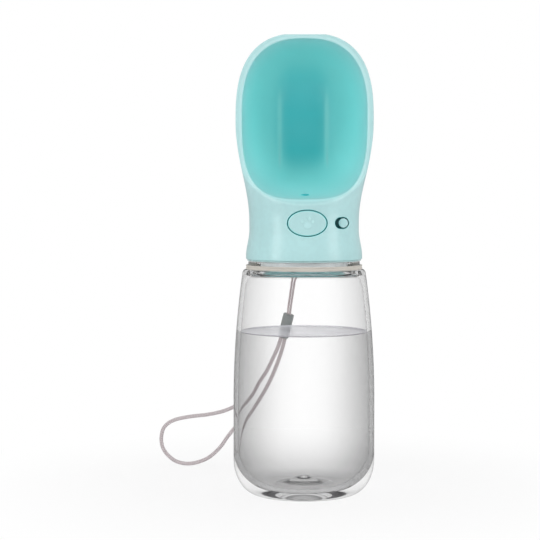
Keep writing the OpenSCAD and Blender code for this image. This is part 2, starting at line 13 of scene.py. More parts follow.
import bmesh
import bpy
import numpy as np
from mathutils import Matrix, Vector


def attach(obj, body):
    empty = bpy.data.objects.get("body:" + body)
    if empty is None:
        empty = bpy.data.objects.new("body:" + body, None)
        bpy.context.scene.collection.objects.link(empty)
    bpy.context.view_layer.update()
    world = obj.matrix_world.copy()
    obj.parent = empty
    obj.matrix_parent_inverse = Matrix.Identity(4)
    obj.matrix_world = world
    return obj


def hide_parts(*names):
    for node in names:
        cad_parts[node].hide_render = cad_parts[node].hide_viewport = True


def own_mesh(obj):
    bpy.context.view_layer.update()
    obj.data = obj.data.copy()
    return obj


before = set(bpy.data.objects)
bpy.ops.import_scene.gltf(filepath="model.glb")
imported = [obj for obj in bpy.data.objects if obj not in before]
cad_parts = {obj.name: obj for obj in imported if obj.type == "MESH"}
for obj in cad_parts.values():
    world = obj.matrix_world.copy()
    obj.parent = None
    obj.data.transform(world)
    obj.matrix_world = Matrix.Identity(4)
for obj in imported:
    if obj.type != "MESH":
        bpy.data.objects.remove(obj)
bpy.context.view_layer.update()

MM = 0.001
log = logging.getLogger("water_bottle")


class Body(Enum):
    """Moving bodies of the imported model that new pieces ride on."""

    BOTTLE = "bottle"
    HEAD = "head"
    KEY = "key"
    LOCK = "lock"


class Slot(Enum):
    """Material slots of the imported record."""

    CLEAR = "clear_bottle"
    MINT = "mint_plastic"
    TEAL = "teal_plastic"
    GREY_SILICONE = "grey_silicone"
    STEEL = "steel"
    GREY = "grey_plastic"
    CORD = "strap_cord"


# ---------------------------------------------------------------------------
# Points and faces
# ---------------------------------------------------------------------------


@dataclass
class Skin:
    """Points in millimetres, four-cornered faces, a UV pair per corner and a number per point."""

    points: np.ndarray
    faces: np.ndarray
    uv: np.ndarray
    tone: np.ndarray

    def outward(self) -> "Skin":
        """Turns the faces of a closed skin outwards: its signed volume is the sum of a.(b x c)/6."""
        a, b, c, d = (self.points[self.faces[:, i]] for i in range(4))
        volume = np.einsum("ij,ij->", a, np.cross(b, c)) + np.einsum("ij,ij->", a, np.cross(c, d))
        if volume < 0:
            return Skin(self.points, self.faces[:, ::-1], self.uv[:, ::-1], self.tone)
        return self

    def toned(self, value: np.ndarray | float) -> "Skin":
        """The same skin with a given tone."""
        return Skin(self.points, self.faces, self.uv, np.broadcast_to(value, len(self.points)).astype(float))

    def moved(self, offset: Sequence[float]) -> "Skin":
        """The same skin, shifted by an offset in millimetres."""
        return Skin(self.points + np.asarray(offset, float), self.faces, self.uv, self.tone)


def skin_of(grid: np.ndarray, uv: np.ndarray | None = None, tone: np.ndarray | None = None) -> Skin:
    """Makes a skin from a grid of points.

    Args:
        grid: Points, rows by columns by 3. Rows and columns that meet are repeated, and merge later.
        uv: UV pairs, rows by columns by 2.
        tone: One number per point, rows by columns.

    Returns:
        The skin, with one face between each four neighbours.
    """
    rows, cols = grid.shape[:2]
    index = np.arange(rows * cols).reshape(rows, cols)
    faces = np.stack([index[:-1, :-1], index[1:, :-1], index[1:, 1:], index[:-1, 1:]], -1).reshape(-1, 4)
    flat_uv = np.zeros((rows * cols, 2)) if uv is None else uv.reshape(-1, 2)
    flat_tone = np.zeros(rows * cols) if tone is None else tone.reshape(-1)
    return Skin(grid.reshape(-1, 3), faces, flat_uv[faces], flat_tone)


def joined(*skins: Skin) -> Skin:
    """Several skins as one."""
    starts = np.cumsum([0] + [len(s.points) for s in skins[:-1]])
    return Skin(
        np.concatenate([s.points for s in skins]),
        np.concatenate([s.faces + n for s, n in zip(skins, starts)]),
        np.concatenate([s.uv for s in skins]),
        np.concatenate([s.tone for s in skins]),
    )


def ease(t: np.ndarray | float) -> np.ndarray:
    """Smooth step from 0 to 1: (1 - cos(pi t)) / 2, held outside 0 to 1."""
    return (1 - np.cos(np.pi * np.clip(t, 0, 1))) / 2


def arch(t: np.ndarray | float, n: float | np.ndarray) -> np.ndarray:
    """Quarter of a superellipse: (1 - t^n)^(1/n), from 1 at t = 0 to 0 at t = 1."""
    return np.maximum(0, 1 - np.clip(t, 0, 1) ** n) ** (1 / n)


def power(v: np.ndarray, e: float | np.ndarray) -> np.ndarray:
    """The size of v to a power, with v's own sign."""
    return np.sign(v) * np.abs(v) ** e


def bent(t: np.ndarray, a: np.ndarray, corner: np.ndarray, b: np.ndarray) -> np.ndarray:
    """Curve from a to b that is drawn towards a corner P: (1-t)^2 A + 2t(1-t) P + t^2 B."""
    return (1 - t) ** 2 * a + 2 * t * (1 - t) * corner + t**2 * b


def full_turn(steps: int) -> np.ndarray:
    """Angles of a full turn in even steps, from 0 to 2 pi."""
    return np.linspace(0, 2 * np.pi, steps + 1)


def walked(line: np.ndarray) -> np.ndarray:
    """Length walked along a line at each of its points."""
    return np.concatenate([[0], np.cumsum(np.linalg.norm(np.diff(line, axis=0), axis=1))])


def middle_row(ring: np.ndarray) -> np.ndarray:
    """A row as long as a ring, all of it at the ring's middle."""
    return np.broadcast_to(ring.mean(0), (1, *ring.shape))


def plugged(grid: np.ndarray) -> np.ndarray:
    """Rings with a row at the middle of the first and of the last one, which closes both ends."""
    return np.concatenate([middle_row(grid[0]), grid, middle_row(grid[-1])])


def rounded(
    corners: Sequence[Sequence[float]], radius: float, closed: bool = False, steps: int = 5
) -> np.ndarray:
    """Rounds the corners of an outline.

    The curve at each corner starts and ends on its two sides, at the radius from the corner, or at 0.45
    of a shorter side.

    Args:
        corners: Outline points, in any number of dimensions.
        radius: How far from a corner its curve starts.
        closed: Whether the last corner joins the first.
        steps: Straight pieces per corner.

    Returns:
        The points of the rounded outline, whose first point is repeated when closed.
    """
    p = np.asarray(corners, float)
    before, after = np.roll(p, 1, 0) - p, np.roll(p, -1, 0) - p
    if not closed:
        before[0], after[-1] = 0, 0
    la, lb = (np.maximum(np.linalg.norm(v, axis=1, keepdims=True), 1e-9) for v in (before, after))
    a = p + before / la * np.minimum(radius, 0.45 * la)
    b = p + after / lb * np.minimum(radius, 0.45 * lb)
    t = np.linspace(0, 1, steps + 1)[None, :, None]
    curves = bent(t, a[:, None], p[:, None], b[:, None])
    if closed:
        flat = curves.reshape(-1, p.shape[1])
        return np.vstack([flat, flat[:1]])
    return np.vstack([p[:1], curves[1:-1].reshape(-1, p.shape[1]), p[-1:]])


def turned(profile: np.ndarray, segments: int) -> Skin:
    """Surface of revolution round Z: (r cos a, r sin a, z) for each (r, z) of the profile."""
    a = full_turn(segments)
    r, z = profile[:, 0:1], profile[:, 1:2]
    grid = np.stack([r * np.cos(a), r * np.sin(a), z + 0 * a], -1)
    uv = np.stack(np.broadcast_arrays(a / (2 * np.pi), walked(profile)[:, None] * MM), -1)
    return skin_of(grid, uv).outward()


def turned_y(profile: np.ndarray, centre: Sequence[float], segments: int) -> Skin:
    """Surface of revolution round a line along Y through (x, z) of the centre; the profile gives (r, y)."""
    a = full_turn(segments)
    r, y = profile[:, 0:1], profile[:, 1:2]
    grid = np.stack([centre[0] + r * np.cos(a), y + 0 * a, centre[1] + r * np.sin(a)], -1)
    return skin_of(grid).outward()


def smooth_line(route: Sequence[Sequence[float]], per: int) -> np.ndarray:
    """Curve through route points: between b and c, with a before and d after,
    (2b + (c-a)t + (2a-5b+4c-d)t^2 + (3b-a-3c+d)t^3) / 2."""
    p = np.asarray(route, float)
    wide = np.vstack([p[:1], p, p[-1:]])
    a, b, c, d = (wide[i : len(wide) - 3 + i, None] for i in range(4))
    t = (np.arange(per) / per)[None, :, None]
    curve = 0.5 * (2 * b + (c - a) * t + (2 * a - 5 * b + 4 * c - d) * t**2 + (3 * b - a - 3 * c + d) * t**3)
    return np.vstack([curve.reshape(-1, 3), p[-1:]])


def tube(line: np.ndarray, radius: float, sides: int) -> Skin:
    """Round tube along a line, capped at its start. Its far end stays open, out of sight.

    Each ring is the line's point + radius (cos k u + sin k v), where u and v stand square to the line
    and are carried along it without twisting. Its UV is (metres along, share round).
    """
    heading = np.gradient(line, axis=0)
    heading /= np.linalg.norm(heading, axis=1, keepdims=True)
    side = np.empty_like(line)
    last = np.array([0.3, 1.0, 0.1])
    for i, t in enumerate(heading):
        last = last - (last @ t) * t
        last = last / np.linalg.norm(last)
        side[i] = last
    other = np.cross(heading, side)
    k = full_turn(sides)[None, :, None]
    grid = line[:, None] + radius * (np.cos(k) * side[:, None] + np.sin(k) * other[:, None])
    uv = np.stack(np.broadcast_arrays(walked(line)[:, None] * MM, k[..., 0] / (2 * np.pi)), -1)
    start = np.broadcast_to(line[0], (1, sides + 1, 3))
    return skin_of(np.concatenate([start, grid]), np.concatenate([uv[:1], uv])).outward()


def screw_rib(radius: float, rise: float, start_z: float, lead: float, start_deg: float = 0.0) -> Skin:
    """Helical rib: a trapezium carried up round the Z axis, run down to a tenth of its height at both ends.

    Args:
        radius: Radius of the wall it stands on.
        rise: How far it stands out of the wall; below 0 it stands inwards.
        start_z: Height at which it starts.
        lead: Height gained in one turn.
        start_deg: Angle at which it starts.

    Returns:
        A skin with radius r + rise u and height z0 + lead a/(2 pi) + v for its section (u, v). It is
        capped at its start, and its far end stays open.
    """
    turns = 1.25
    lower = [(-0.25, -0.6), (0.55, -0.32), (1.0, -0.12)]
    section = np.array([*lower, *[(u, -v) for u, v in lower[::-1]], lower[0]])
    i = np.linspace(0, 1, 120)
    a = 2 * np.pi * turns * i + math.radians(start_deg)
    grow = np.minimum(1, np.minimum(i, 1 - i) * 12 + 0.1)
    r = radius + section[None, :, 0] * rise * grow[:, None]
    z = (start_z + lead * turns * i)[:, None] + section[None, :, 1]
    grid = np.stack([r * np.cos(a)[:, None], r * np.sin(a)[:, None], z], -1)
    return skin_of(np.concatenate([middle_row(grid[0]), grid])).outward()


def carved(obj: bpy.types.Object, cutters: Sequence[Skin], sharp_deg: float) -> None:
    """Takes closed skins out of an object and leaves one plain mesh.

    Args:
        obj: The object, whose finish the cut faces take too.
        cutters: Closed skins in millimetres.
        sharp_deg: Edges that bend more than this stay sharp in the shading.
    """
    finish = obj.data.materials[0]
    tools = [as_object(f"cutter_{i}", cutter, finish) for i, cutter in enumerate(cutters)]
    for tool in tools:
        cut = obj.modifiers.new(tool.name, "BOOLEAN")
        cut.operation, cut.solver, cut.object = "DIFFERENCE", "EXACT", tool
    mesh = bpy.data.meshes.new_from_object(obj.evaluated_get(bpy.context.evaluated_depsgraph_get()))
    obj.modifiers.clear()
    obj.data = mesh
    mesh.name = obj.name
    mesh.materials.clear()
    mesh.materials.append(finish)
    mesh.polygons.foreach_set("material_index", np.zeros(len(mesh.polygons), np.int32))
    shade(mesh, sharp_deg)
    for tool in tools:
        bpy.data.objects.remove(tool)


def as_object(
    name: str, skin: Skin, material: bpy.types.Material, sharp_deg: float = 38.0
) -> bpy.types.Object:
    """Makes a Blender object at the origin from a skin in millimetres.

    Args:
        name: Name of the piece.
        skin: Points and faces. Points that meet are merged.
        material: The piece's finish.
        sharp_deg: Edges that bend more than this stay sharp in the shading.

    Returns:
        The object, linked to the scene.
    """
    mesh = bpy.data.meshes.new(name)
    mesh.from_pydata((skin.points * MM).tolist(), [], skin.faces.tolist())
    mesh.uv_layers.new(name="UVMap").data.foreach_set("uv", skin.uv.reshape(-1).astype(np.float32))
    tone = mesh.attributes.new("tone", "FLOAT", "POINT")
    tone.data.foreach_set("value", skin.tone.astype(np.float32))
    work = bmesh.new()
    work.from_mesh(mesh)
    bmesh.ops.remove_doubles(work, verts=work.verts, dist=2e-7)
    bmesh.ops.dissolve_degenerate(work, edges=work.edges, dist=1e-7)
    work.to_mesh(mesh)
    work.free()
    shade(mesh, sharp_deg)
    mesh.materials.append(material)
    obj = bpy.data.objects.new(name, mesh)
    bpy.context.scene.collection.objects.link(obj)
    return obj


def shade(mesh: bpy.types.Mesh, sharp_deg: float) -> None:
    """Smooth shading, with edges that bend more than an angle kept sharp."""
    mesh.polygons.foreach_set("use_smooth", np.ones(len(mesh.polygons), bool))
    mesh.set_sharp_from_angle(angle=math.radians(sharp_deg))
    mesh.update()


def read(items: bpy.types.bpy_prop_collection, key: str, width: int = 1) -> np.ndarray:
    """One property of a mesh's points or faces, as an array with a row for each."""
    values = np.zeros(len(items) * width, np.float32)
    items.foreach_get(key, values)
    return values.reshape(-1, width) if width > 1 else values


def placed(obj: bpy.types.Object, body: Body, slot: Slot | None, *nodes: str) -> bpy.types.Object:
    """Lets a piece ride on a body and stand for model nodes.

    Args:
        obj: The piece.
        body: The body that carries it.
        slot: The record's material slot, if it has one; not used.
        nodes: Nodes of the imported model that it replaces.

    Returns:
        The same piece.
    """
    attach(obj, body.value)
    if nodes:
        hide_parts(*nodes)
    log.info("%s: %d faces, rides on %s", obj.name, len(obj.data.polygons), body.value)
    return obj


# ---------------------------------------------------------------------------
# Shader maths and finishes
# ---------------------------------------------------------------------------


class Signal:
    """A number that runs through a material's nodes; Python's operators add its Math nodes."""

    def __init__(self, nodes: "Nodes", socket: bpy.types.NodeSocket) -> None:
        """Wraps an output socket."""
        self.nodes = nodes
        self.socket = socket

    def _maths(self, operation: str, a: object, b: object = 0.0) -> "Signal":
        """One Math node on one or two numbers or signals."""
        return self.nodes.signal("ShaderNodeMath", {"operation": operation}, {0: a, 1: b})

    def __add__(self, other: object) -> "Signal":
        """self + other."""
        return self._maths("ADD", self, other)

    __radd__ = __add__

    def __sub__(self, other: object) -> "Signal":
        """self - other."""
        return self._maths("SUBTRACT", self, other)

    def __rsub__(self, other: object) -> "Signal":
        """other - self."""
        return self._maths("SUBTRACT", other, self)

    def __mul__(self, other: object) -> "Signal":
        """self * other."""
        return self._maths("MULTIPLY", self, other)

    __rmul__ = __mul__

    def __pow__(self, other: object) -> "Signal":
        """self to a power."""
        return self._maths("POWER", self, other)

    def sine(self) -> "Signal":
        """Sine of self in radians."""
        return self._maths("SINE", self)

    def most(self, other: object) -> "Signal":
        """The larger of self and other."""
        return self._maths("MAXIMUM", self, other)

    def step(self, low: float, high: float) -> "Signal":
        """Smooth step of self from 0 at low to 1 at high."""
        return self.nodes.signal(
            "ShaderNodeMapRange",
            {"interpolation_type": "SMOOTHSTEP"},
            {"Value": self, "From Min": low, "From Max": high},
        )


class Nodes:
    """The node tree of one material or of the world."""

    def __init__(self, tree: bpy.types.NodeTree) -> None:
        """Empties the tree."""
        self.tree = tree
        tree.nodes.clear()

    def add(
        self,
        kind: str,
        settings: dict[str, object] | None = None,
        sockets: dict[str | int, object] | None = None,
    ) -> bpy.types.Node:
        """Adds a node.

        Args:
            kind: The node's type.
            settings: Its settings, set first.
            sockets: A number, colour, socket, node or Signal for each input, by name or place.

        Returns:
            The node.
        """
        node = self.tree.nodes.new(kind)
        for name, value in (settings or {}).items():
            setattr(node, name, value)
        for name, value in (sockets or {}).items():
            target = node.inputs[name]
            if isinstance(value, Signal):
                value = value.socket
            elif isinstance(value, bpy.types.Node):
                value = value.outputs[0]
            if isinstance(value, bpy.types.NodeSocket):
                self.tree.links.new(value, target)
            else:
                target.default_value = value
        return node

    def signal(
        self,
        kind: str,
        settings: dict[str, object] | None = None,
        sockets: dict[str | int, object] | None = None,
        output: str | int = 0,
    ) -> Signal:
        """Adds a node and gives one of its outputs as a signal."""
        return Signal(self, self.add(kind, settings, sockets).outputs[output])

    def place(self, scale: Sequence[float] = (1, 1, 1)) -> bpy.types.Node:
        """Object coordinates in metres, scaled."""
        coordinates = self.add("ShaderNodeTexCoord")
        return self.add("ShaderNodeMapping", {}, {"Vector": coordinates.outputs["Object"], "Scale": scale})

    def axes(self) -> tuple[Signal, Signal, Signal]:
        """Object coordinates as three signals, in metres."""
        coordinates = self.add("ShaderNodeTexCoord")
        parts = self.add("ShaderNodeSeparateXYZ", {}, {"Vector": coordinates.outputs["Object"]})
        return tuple(Signal(self, parts.outputs[i]) for i in range(3))

    def facing(self) -> Signal:
        """How far the surface turns away from the eye, from 0 to 1."""
        return self.signal("ShaderNodeLayerWeight", {}, {"Blend": 0.5}, "Facing")

    def ray(self, *kinds: str) -> Signal:
        """1 on rays of any of the given kinds and 0 on others."""
        path = self.add("ShaderNodeLightPath")
        first, *others = (Signal(self, path.outputs[f"Is {kind} Ray"]) for kind in kinds)
        for other in others:
            first = first.most(other)
        return first

    def dots(self, scale: float, inner: float, outer: float) -> Signal:
        """Scattered round dots: 1 within the inner radius of each cell's point, 0 beyond the outer."""
        cells = self.signal("ShaderNodeTexVoronoi", {}, {"Vector": self.place(), "Scale": scale}, "Distance")
        return 1 - cells.step(inner, outer)

    def noise(
        self, scale: float, detail: float, stretch: Sequence[float] = (1, 1, 1), rough: float = 0.5
    ) -> Signal:
        """Noise on object coordinates, around 0.5."""
        sockets = {"Vector": self.place(stretch), "Scale": scale, "Detail": detail, "Roughness": rough}
        return self.signal("ShaderNodeTexNoise", {}, sockets)

    def mixed(self, factor: object, low: object, high: object) -> bpy.types.NodeSocket:
        """Colour between low and high by a factor."""
        node = self.add("ShaderNodeMix", {"data_type": "RGBA"}, {0: factor, 6: low, 7: high})
        return node.outputs[2]

    def bump(self, height: Signal, distance: float, strength: float, below: object = None) -> bpy.types.Node:
        """Bump from a height, over a distance in metres, on another bump where one is given."""
        sockets = {"Height": height, "Distance": distance, "Strength": strength}
        if below is not None:
            sockets["Normal"] = below
        return self.add("ShaderNodeBump", {}, sockets)

    def principled(self, sockets: dict[str | int, object]) -> bpy.types.Node:
        """The general surface shader."""
        return self.add("ShaderNodeBsdfPrincipled", {}, sockets)

    def veil(self, colour: Sequence[float]) -> bpy.types.Node:
        """See-through shader that tints what lies behind it."""
        return self.add("ShaderNodeBsdfTransparent", {}, {"Color": (*colour, 1)})

    def blend(self, share: Signal, first: bpy.types.Node, second: bpy.types.Node) -> bpy.types.Node:
        """Shader between two others, all of the second at a share of 1."""
        return self.add("ShaderNodeMixShader", {}, {0: share, 1: first, 2: second})

    def end(self, surface: bpy.types.Node) -> None:
        """Links the material's output."""
        self.add("ShaderNodeOutputMaterial", {}, {"Surface": surface})


def rgba(colour: Sequence[float]) -> tuple[float, float, float, float]:
    """A linear colour from one written as a screen shows it, 0 to 1."""
    c = np.asarray(colour, float)
    return (*np.where(c <= 0.04045, c / 12.92, ((c + 0.055) / 1.055) ** 2.4).tolist(), 1.0)


def scaled(colour: Sequence[float], factor: float) -> tuple[float, float, float, float]:
    """A linear colour from one written as a screen shows it, first made lighter or darker by a factor."""
    return rgba([min(1, c * factor) for c in colour])


def new_material(name: str) -> tuple[bpy.types.Material, Nodes]:
    """An empty material and its nodes."""
    material = bpy.data.materials.new(name)
    material.use_nodes = True
    return material, Nodes(material.node_tree)


@dataclass(frozen=True)
class MouldedPlastic:
    """Injection-moulded plastic: fine satin grain, slow flow shading, rub marks and small specks.

    A skin's tone paints shade, from the plain colour at 0 to the deep colours at 1 in a piece's hollows and
    openings, and paints a highlight, the pale colour at -1 along its rim; the key's paw mark takes the pale
    colour too.
    """

    name: str
    colour: tuple[float, float, float]
    # The two deep colours below are painted shade and the pale one is a painted highlight, chosen by the
    # skin's tone.
    deep: tuple[float, float, float] | None = None
    darkest_shade: tuple[float, float, float] | None = None
    pale: tuple[float, float, float] | None = None
    roughness: float = 0.34
    coat: float = 0.25
    grain: float = 9000.0
    grain_depth: float = 4e-6
    flow: float = 0.03

    def material(self) -> bpy.types.Material:
        """Builds the finish."""
        material, n = new_material(self.name)
        flow = n.noise(38, 4, (1, 1, 0.45))
        mottle = n.noise(420, 3)
        drawn = flow.step(0.3, 0.7) * 0.7 + mottle.step(0.35, 0.65) * 0.3
        colour = n.mixed(drawn, scaled(self.colour, 1 - self.flow), scaled(self.colour, 1 + self.flow * 0.5))
        # Tone above 0 mixes in the deep colours as painted shade; tone below 0 mixes in the pale colour, a
        # painted highlight along rims that also marks the key's paw.
        if self.deep is not None:
            tone = n.signal("ShaderNodeAttribute", {"attribute_name": "tone"}, {}, "Fac")
            drifted = tone + (flow - 0.5) * 0.06
            colour = n.mixed(drifted.step(0.02, 0.5), colour, rgba(self.deep))
            colour = n.mixed(drifted.step(0.45, 1.0), colour, rgba(self.darkest_shade or self.deep))
            if self.pale is not None:
                colour = n.mixed((tone * -1.0).step(0.1, 0.9), colour, rgba(self.pale))
        colour = n.mixed(n.dots(260.0, 0.03, 0.07) * 0.12, colour, scaled(self.colour, 0.7))
        rubs = n.noise(900, 2, (1, 1, 0.08)).step(0.6, 0.78)
        prints = n.noise(95, 5, (1, 1, 1), 0.65).step(0.5, 0.7)
        waves = n.bump(n.noise(60, 2), 0.00012, 0.25)
        shader = n.principled(
            {
                "Base Color": colour,
                "Roughness": rubs * 0.07 + prints * 0.06 + self.roughness - 0.03,
                "IOR": 1.49,
                "Coat Weight": self.coat,
                "Coat Roughness": 0.16,
                "Normal": n.bump(n.noise(self.grain, 2), self.grain_depth, 0.6, waves),
            }
        )
        n.end(shader)
        return material


@dataclass(frozen=True)
class SoftSilicone:
    """Matt silicone rubber: powdery surface, dust specks and a faint moulding haze."""

    name: str
    colour: tuple[float, float, float]
    roughness: float = 0.6

    def material(self) -> bpy.types.Material:
        """Builds the finish."""
        material, n = new_material(self.name)
        haze = n.noise(120, 5, (1, 1, 1), 0.6)
        colour = n.mixed(haze, scaled(self.colour, 0.95), scaled(self.colour, 1.03))
        colour = n.mixed(n.dots(700.0, 0.05, 0.12) * 0.25, colour, rgba((0.9, 0.9, 0.88)))
        shader = n.principled(
            {
                "Base Color": colour,
                "Roughness": haze * 0.16 + (self.roughness - 0.08),
                "IOR": 1.41,
                "Sheen Weight": 0.12,
                "Sheen Roughness": 0.5,
                "Subsurface Weight": 0.08,
                "Subsurface Radius": (0.001, 0.001, 0.001),
                "Normal": n.bump(n.noise(5200, 3), 6e-6, 0.8),
            }
        )
        n.end(shader)
        return material


@dataclass(frozen=True)
class BrushedSteel:
    """Stainless steel with fine drawing lines and a slight tarnish."""

    name: str
    colour: tuple[float, float, float] = (0.76, 0.76, 0.77)

    def material(self) -> bpy.types.Material:
        """Builds the finish."""
        material, n = new_material(self.name)
        lines = n.noise(2600, 3, (1, 0.06, 1))
        stain = n.noise(160, 4).step(0.35, 0.75)
        shader = n.principled(
            {
                "Base Color": n.mixed(stain, rgba(self.colour), scaled(self.colour, 0.86)),
                "Metallic": 1.0,
                "Roughness": lines * 0.22 + 0.16,
                "Normal": n.bump(lines, 6e-6, 0.6),
            }
        )
        n.end(shader)
        return material


@dataclass(frozen=True)
class ClearPlastic:
    """Clear moulded wall: refracts a little, takes painted grey shade where it is seen edge-on and at its
    foot, and holds faint flow waves, rub marks and dust."""

    name: str
    bending: float = 1.09

    def material(self) -> bpy.types.Material:
        """Builds the finish: glass, mixed with a dark see-through veil as painted shade at its side, its
        outline and its foot; shadow rays pass it.
        """
        material, n = new_material(self.name)
        rubs = n.noise(700, 3, (1, 1, 0.1)).step(0.62, 0.8)
        glass = n.principled(
            {
                "Base Color": (1, 1, 1, 1),
                "Roughness": rubs * 0.05 + 0.01,
                "IOR": self.bending,
                "Transmission Weight": 1.0,
                "Normal": n.bump(n.noise(55, 2, (1, 1, 0.35)), 0.00025, 0.3),
            }
        )
        facing, height = n.facing(), n.axes()[2]
        # Painted shade: the grey veil's share grows where the wall turns away, at its outline and at its
        # foot.
        side = (facing - 0.06).most(0.0) * (height.step(0.003, 0.02) * 0.13 + 0.1)
        outline = facing.step(0.7, 0.97) * 0.17
        foot = (1 - height.step(0.001, 0.006)) * 0.13
        haze = n.noise(240, 4).step(0.45, 0.8) * 0.006
        body = n.blend(side + outline + foot + haze, glass, n.veil((0.2, 0.2, 0.205)))
        n.end(n.blend(n.ray("Shadow"), body, n.veil((0.95, 0.955, 0.96))))
        return material


@dataclass(frozen=True)
class StillWater:
    """Water in the bottle: clear in the middle, with painted grey shade where its side turns away and towards
    the floor, and a pale grey film for its top as a painted reflection of its surface."""

    name: str
    top: bool

    def material(self) -> bpy.types.Material:
        """Builds the finish; shadow rays pass it."""
        material, n = new_material(self.name)
        if self.top:
            # The top is a pale grey film, mostly opaque: a painted reflection of the water's surface.
            tint = n.noise(45, 2).step(0.35, 0.7)
            film = n.principled(
                {
                    "Base Color": n.mixed(tint, rgba((0.66, 0.652, 0.68)), rgba((0.74, 0.735, 0.755))),
                    "Roughness": 0.3,
                    "IOR": 1.33,
                    "Specular IOR Level": 0.2,
                    "Normal": n.bump(n.noise(70, 2), 0.0004, 0.35),
                }
            )
            share = n.noise(30, 2).step(0.3, 0.7) * 0.1 + 0.68
        else:
            film = n.veil((0.2, 0.2, 0.2))
            # Painted shade: a grey veil whose share grows where the side turns away and towards the floor.
            facing, height = n.facing(), n.axes()[2]
            side = (facing * 0.66 - facing * facing * 0.45) * (height.step(0.004, 0.014) * 0.75 + 0.25)
            share = side + (1 - height.step(0.0, 0.031)) * 0.22
        body = n.blend(share, n.veil((1, 1, 1)), film)
        n.end(n.blend(n.ray("Shadow"), body, n.veil((0.96, 0.96, 0.965))))
        return material


class Lay(Enum):
    """How the threads of a cord lie: plain ribs across it, or strands twisted round it."""

    RIBBED = "ribbed"
    TWISTED = "twisted"


@dataclass(frozen=True)
class WovenCord:
    """Cord of fine threads, worked on the cord's own UV: metres along it, and a share round it."""

    name: str
    colour: tuple[float, float, float]
    shade: tuple[float, float, float]
    lay: Lay
    pitch: float

    def material(self) -> bpy.types.Material:
        """Builds the finish."""
        material, n = new_material(self.name)
        uv = n.add("ShaderNodeSeparateXYZ", {}, {"Vector": n.add("ShaderNodeUVMap", {"uv_map": "UVMap"})})
        turn = 2 * math.pi
        along, around = Signal(n, uv.outputs[0]) * (turn / self.pitch), Signal(n, uv.outputs[1]) * turn
        if self.lay is Lay.RIBBED:
            ribs = (along + (around * 2).sine() * 0.5).sine()
            strands = (around * 8).sine()
        else:
            ribs = (along + around * 3).sine()
            strands = (along * 3 + around * 9).sine()
        height = ribs * 0.36 + strands * 0.12 + 0.5
        wear, fuzz = n.noise(150, 4), n.noise(6000, 2)
        shader = n.principled(
            {
                # The colour darkens into the grooves between threads as painted shade, with random wear on
                # top.
                "Base Color": n.mixed(height * 0.85 + wear * 0.2, rgba(self.shade), rgba(self.colour)),
                "Roughness": fuzz * 0.2 + 0.62,
                "Sheen Weight": 0.35,
                "Sheen Roughness": 0.4,
                "Normal": n.bump(fuzz, 2e-5, 0.5, n.bump(height, 0.00018, 0.9)),
            }
        )
        n.end(shader)
        return material


# ---------------------------------------------------------------------------
# Sub-assemblies
# ---------------------------------------------------------------------------


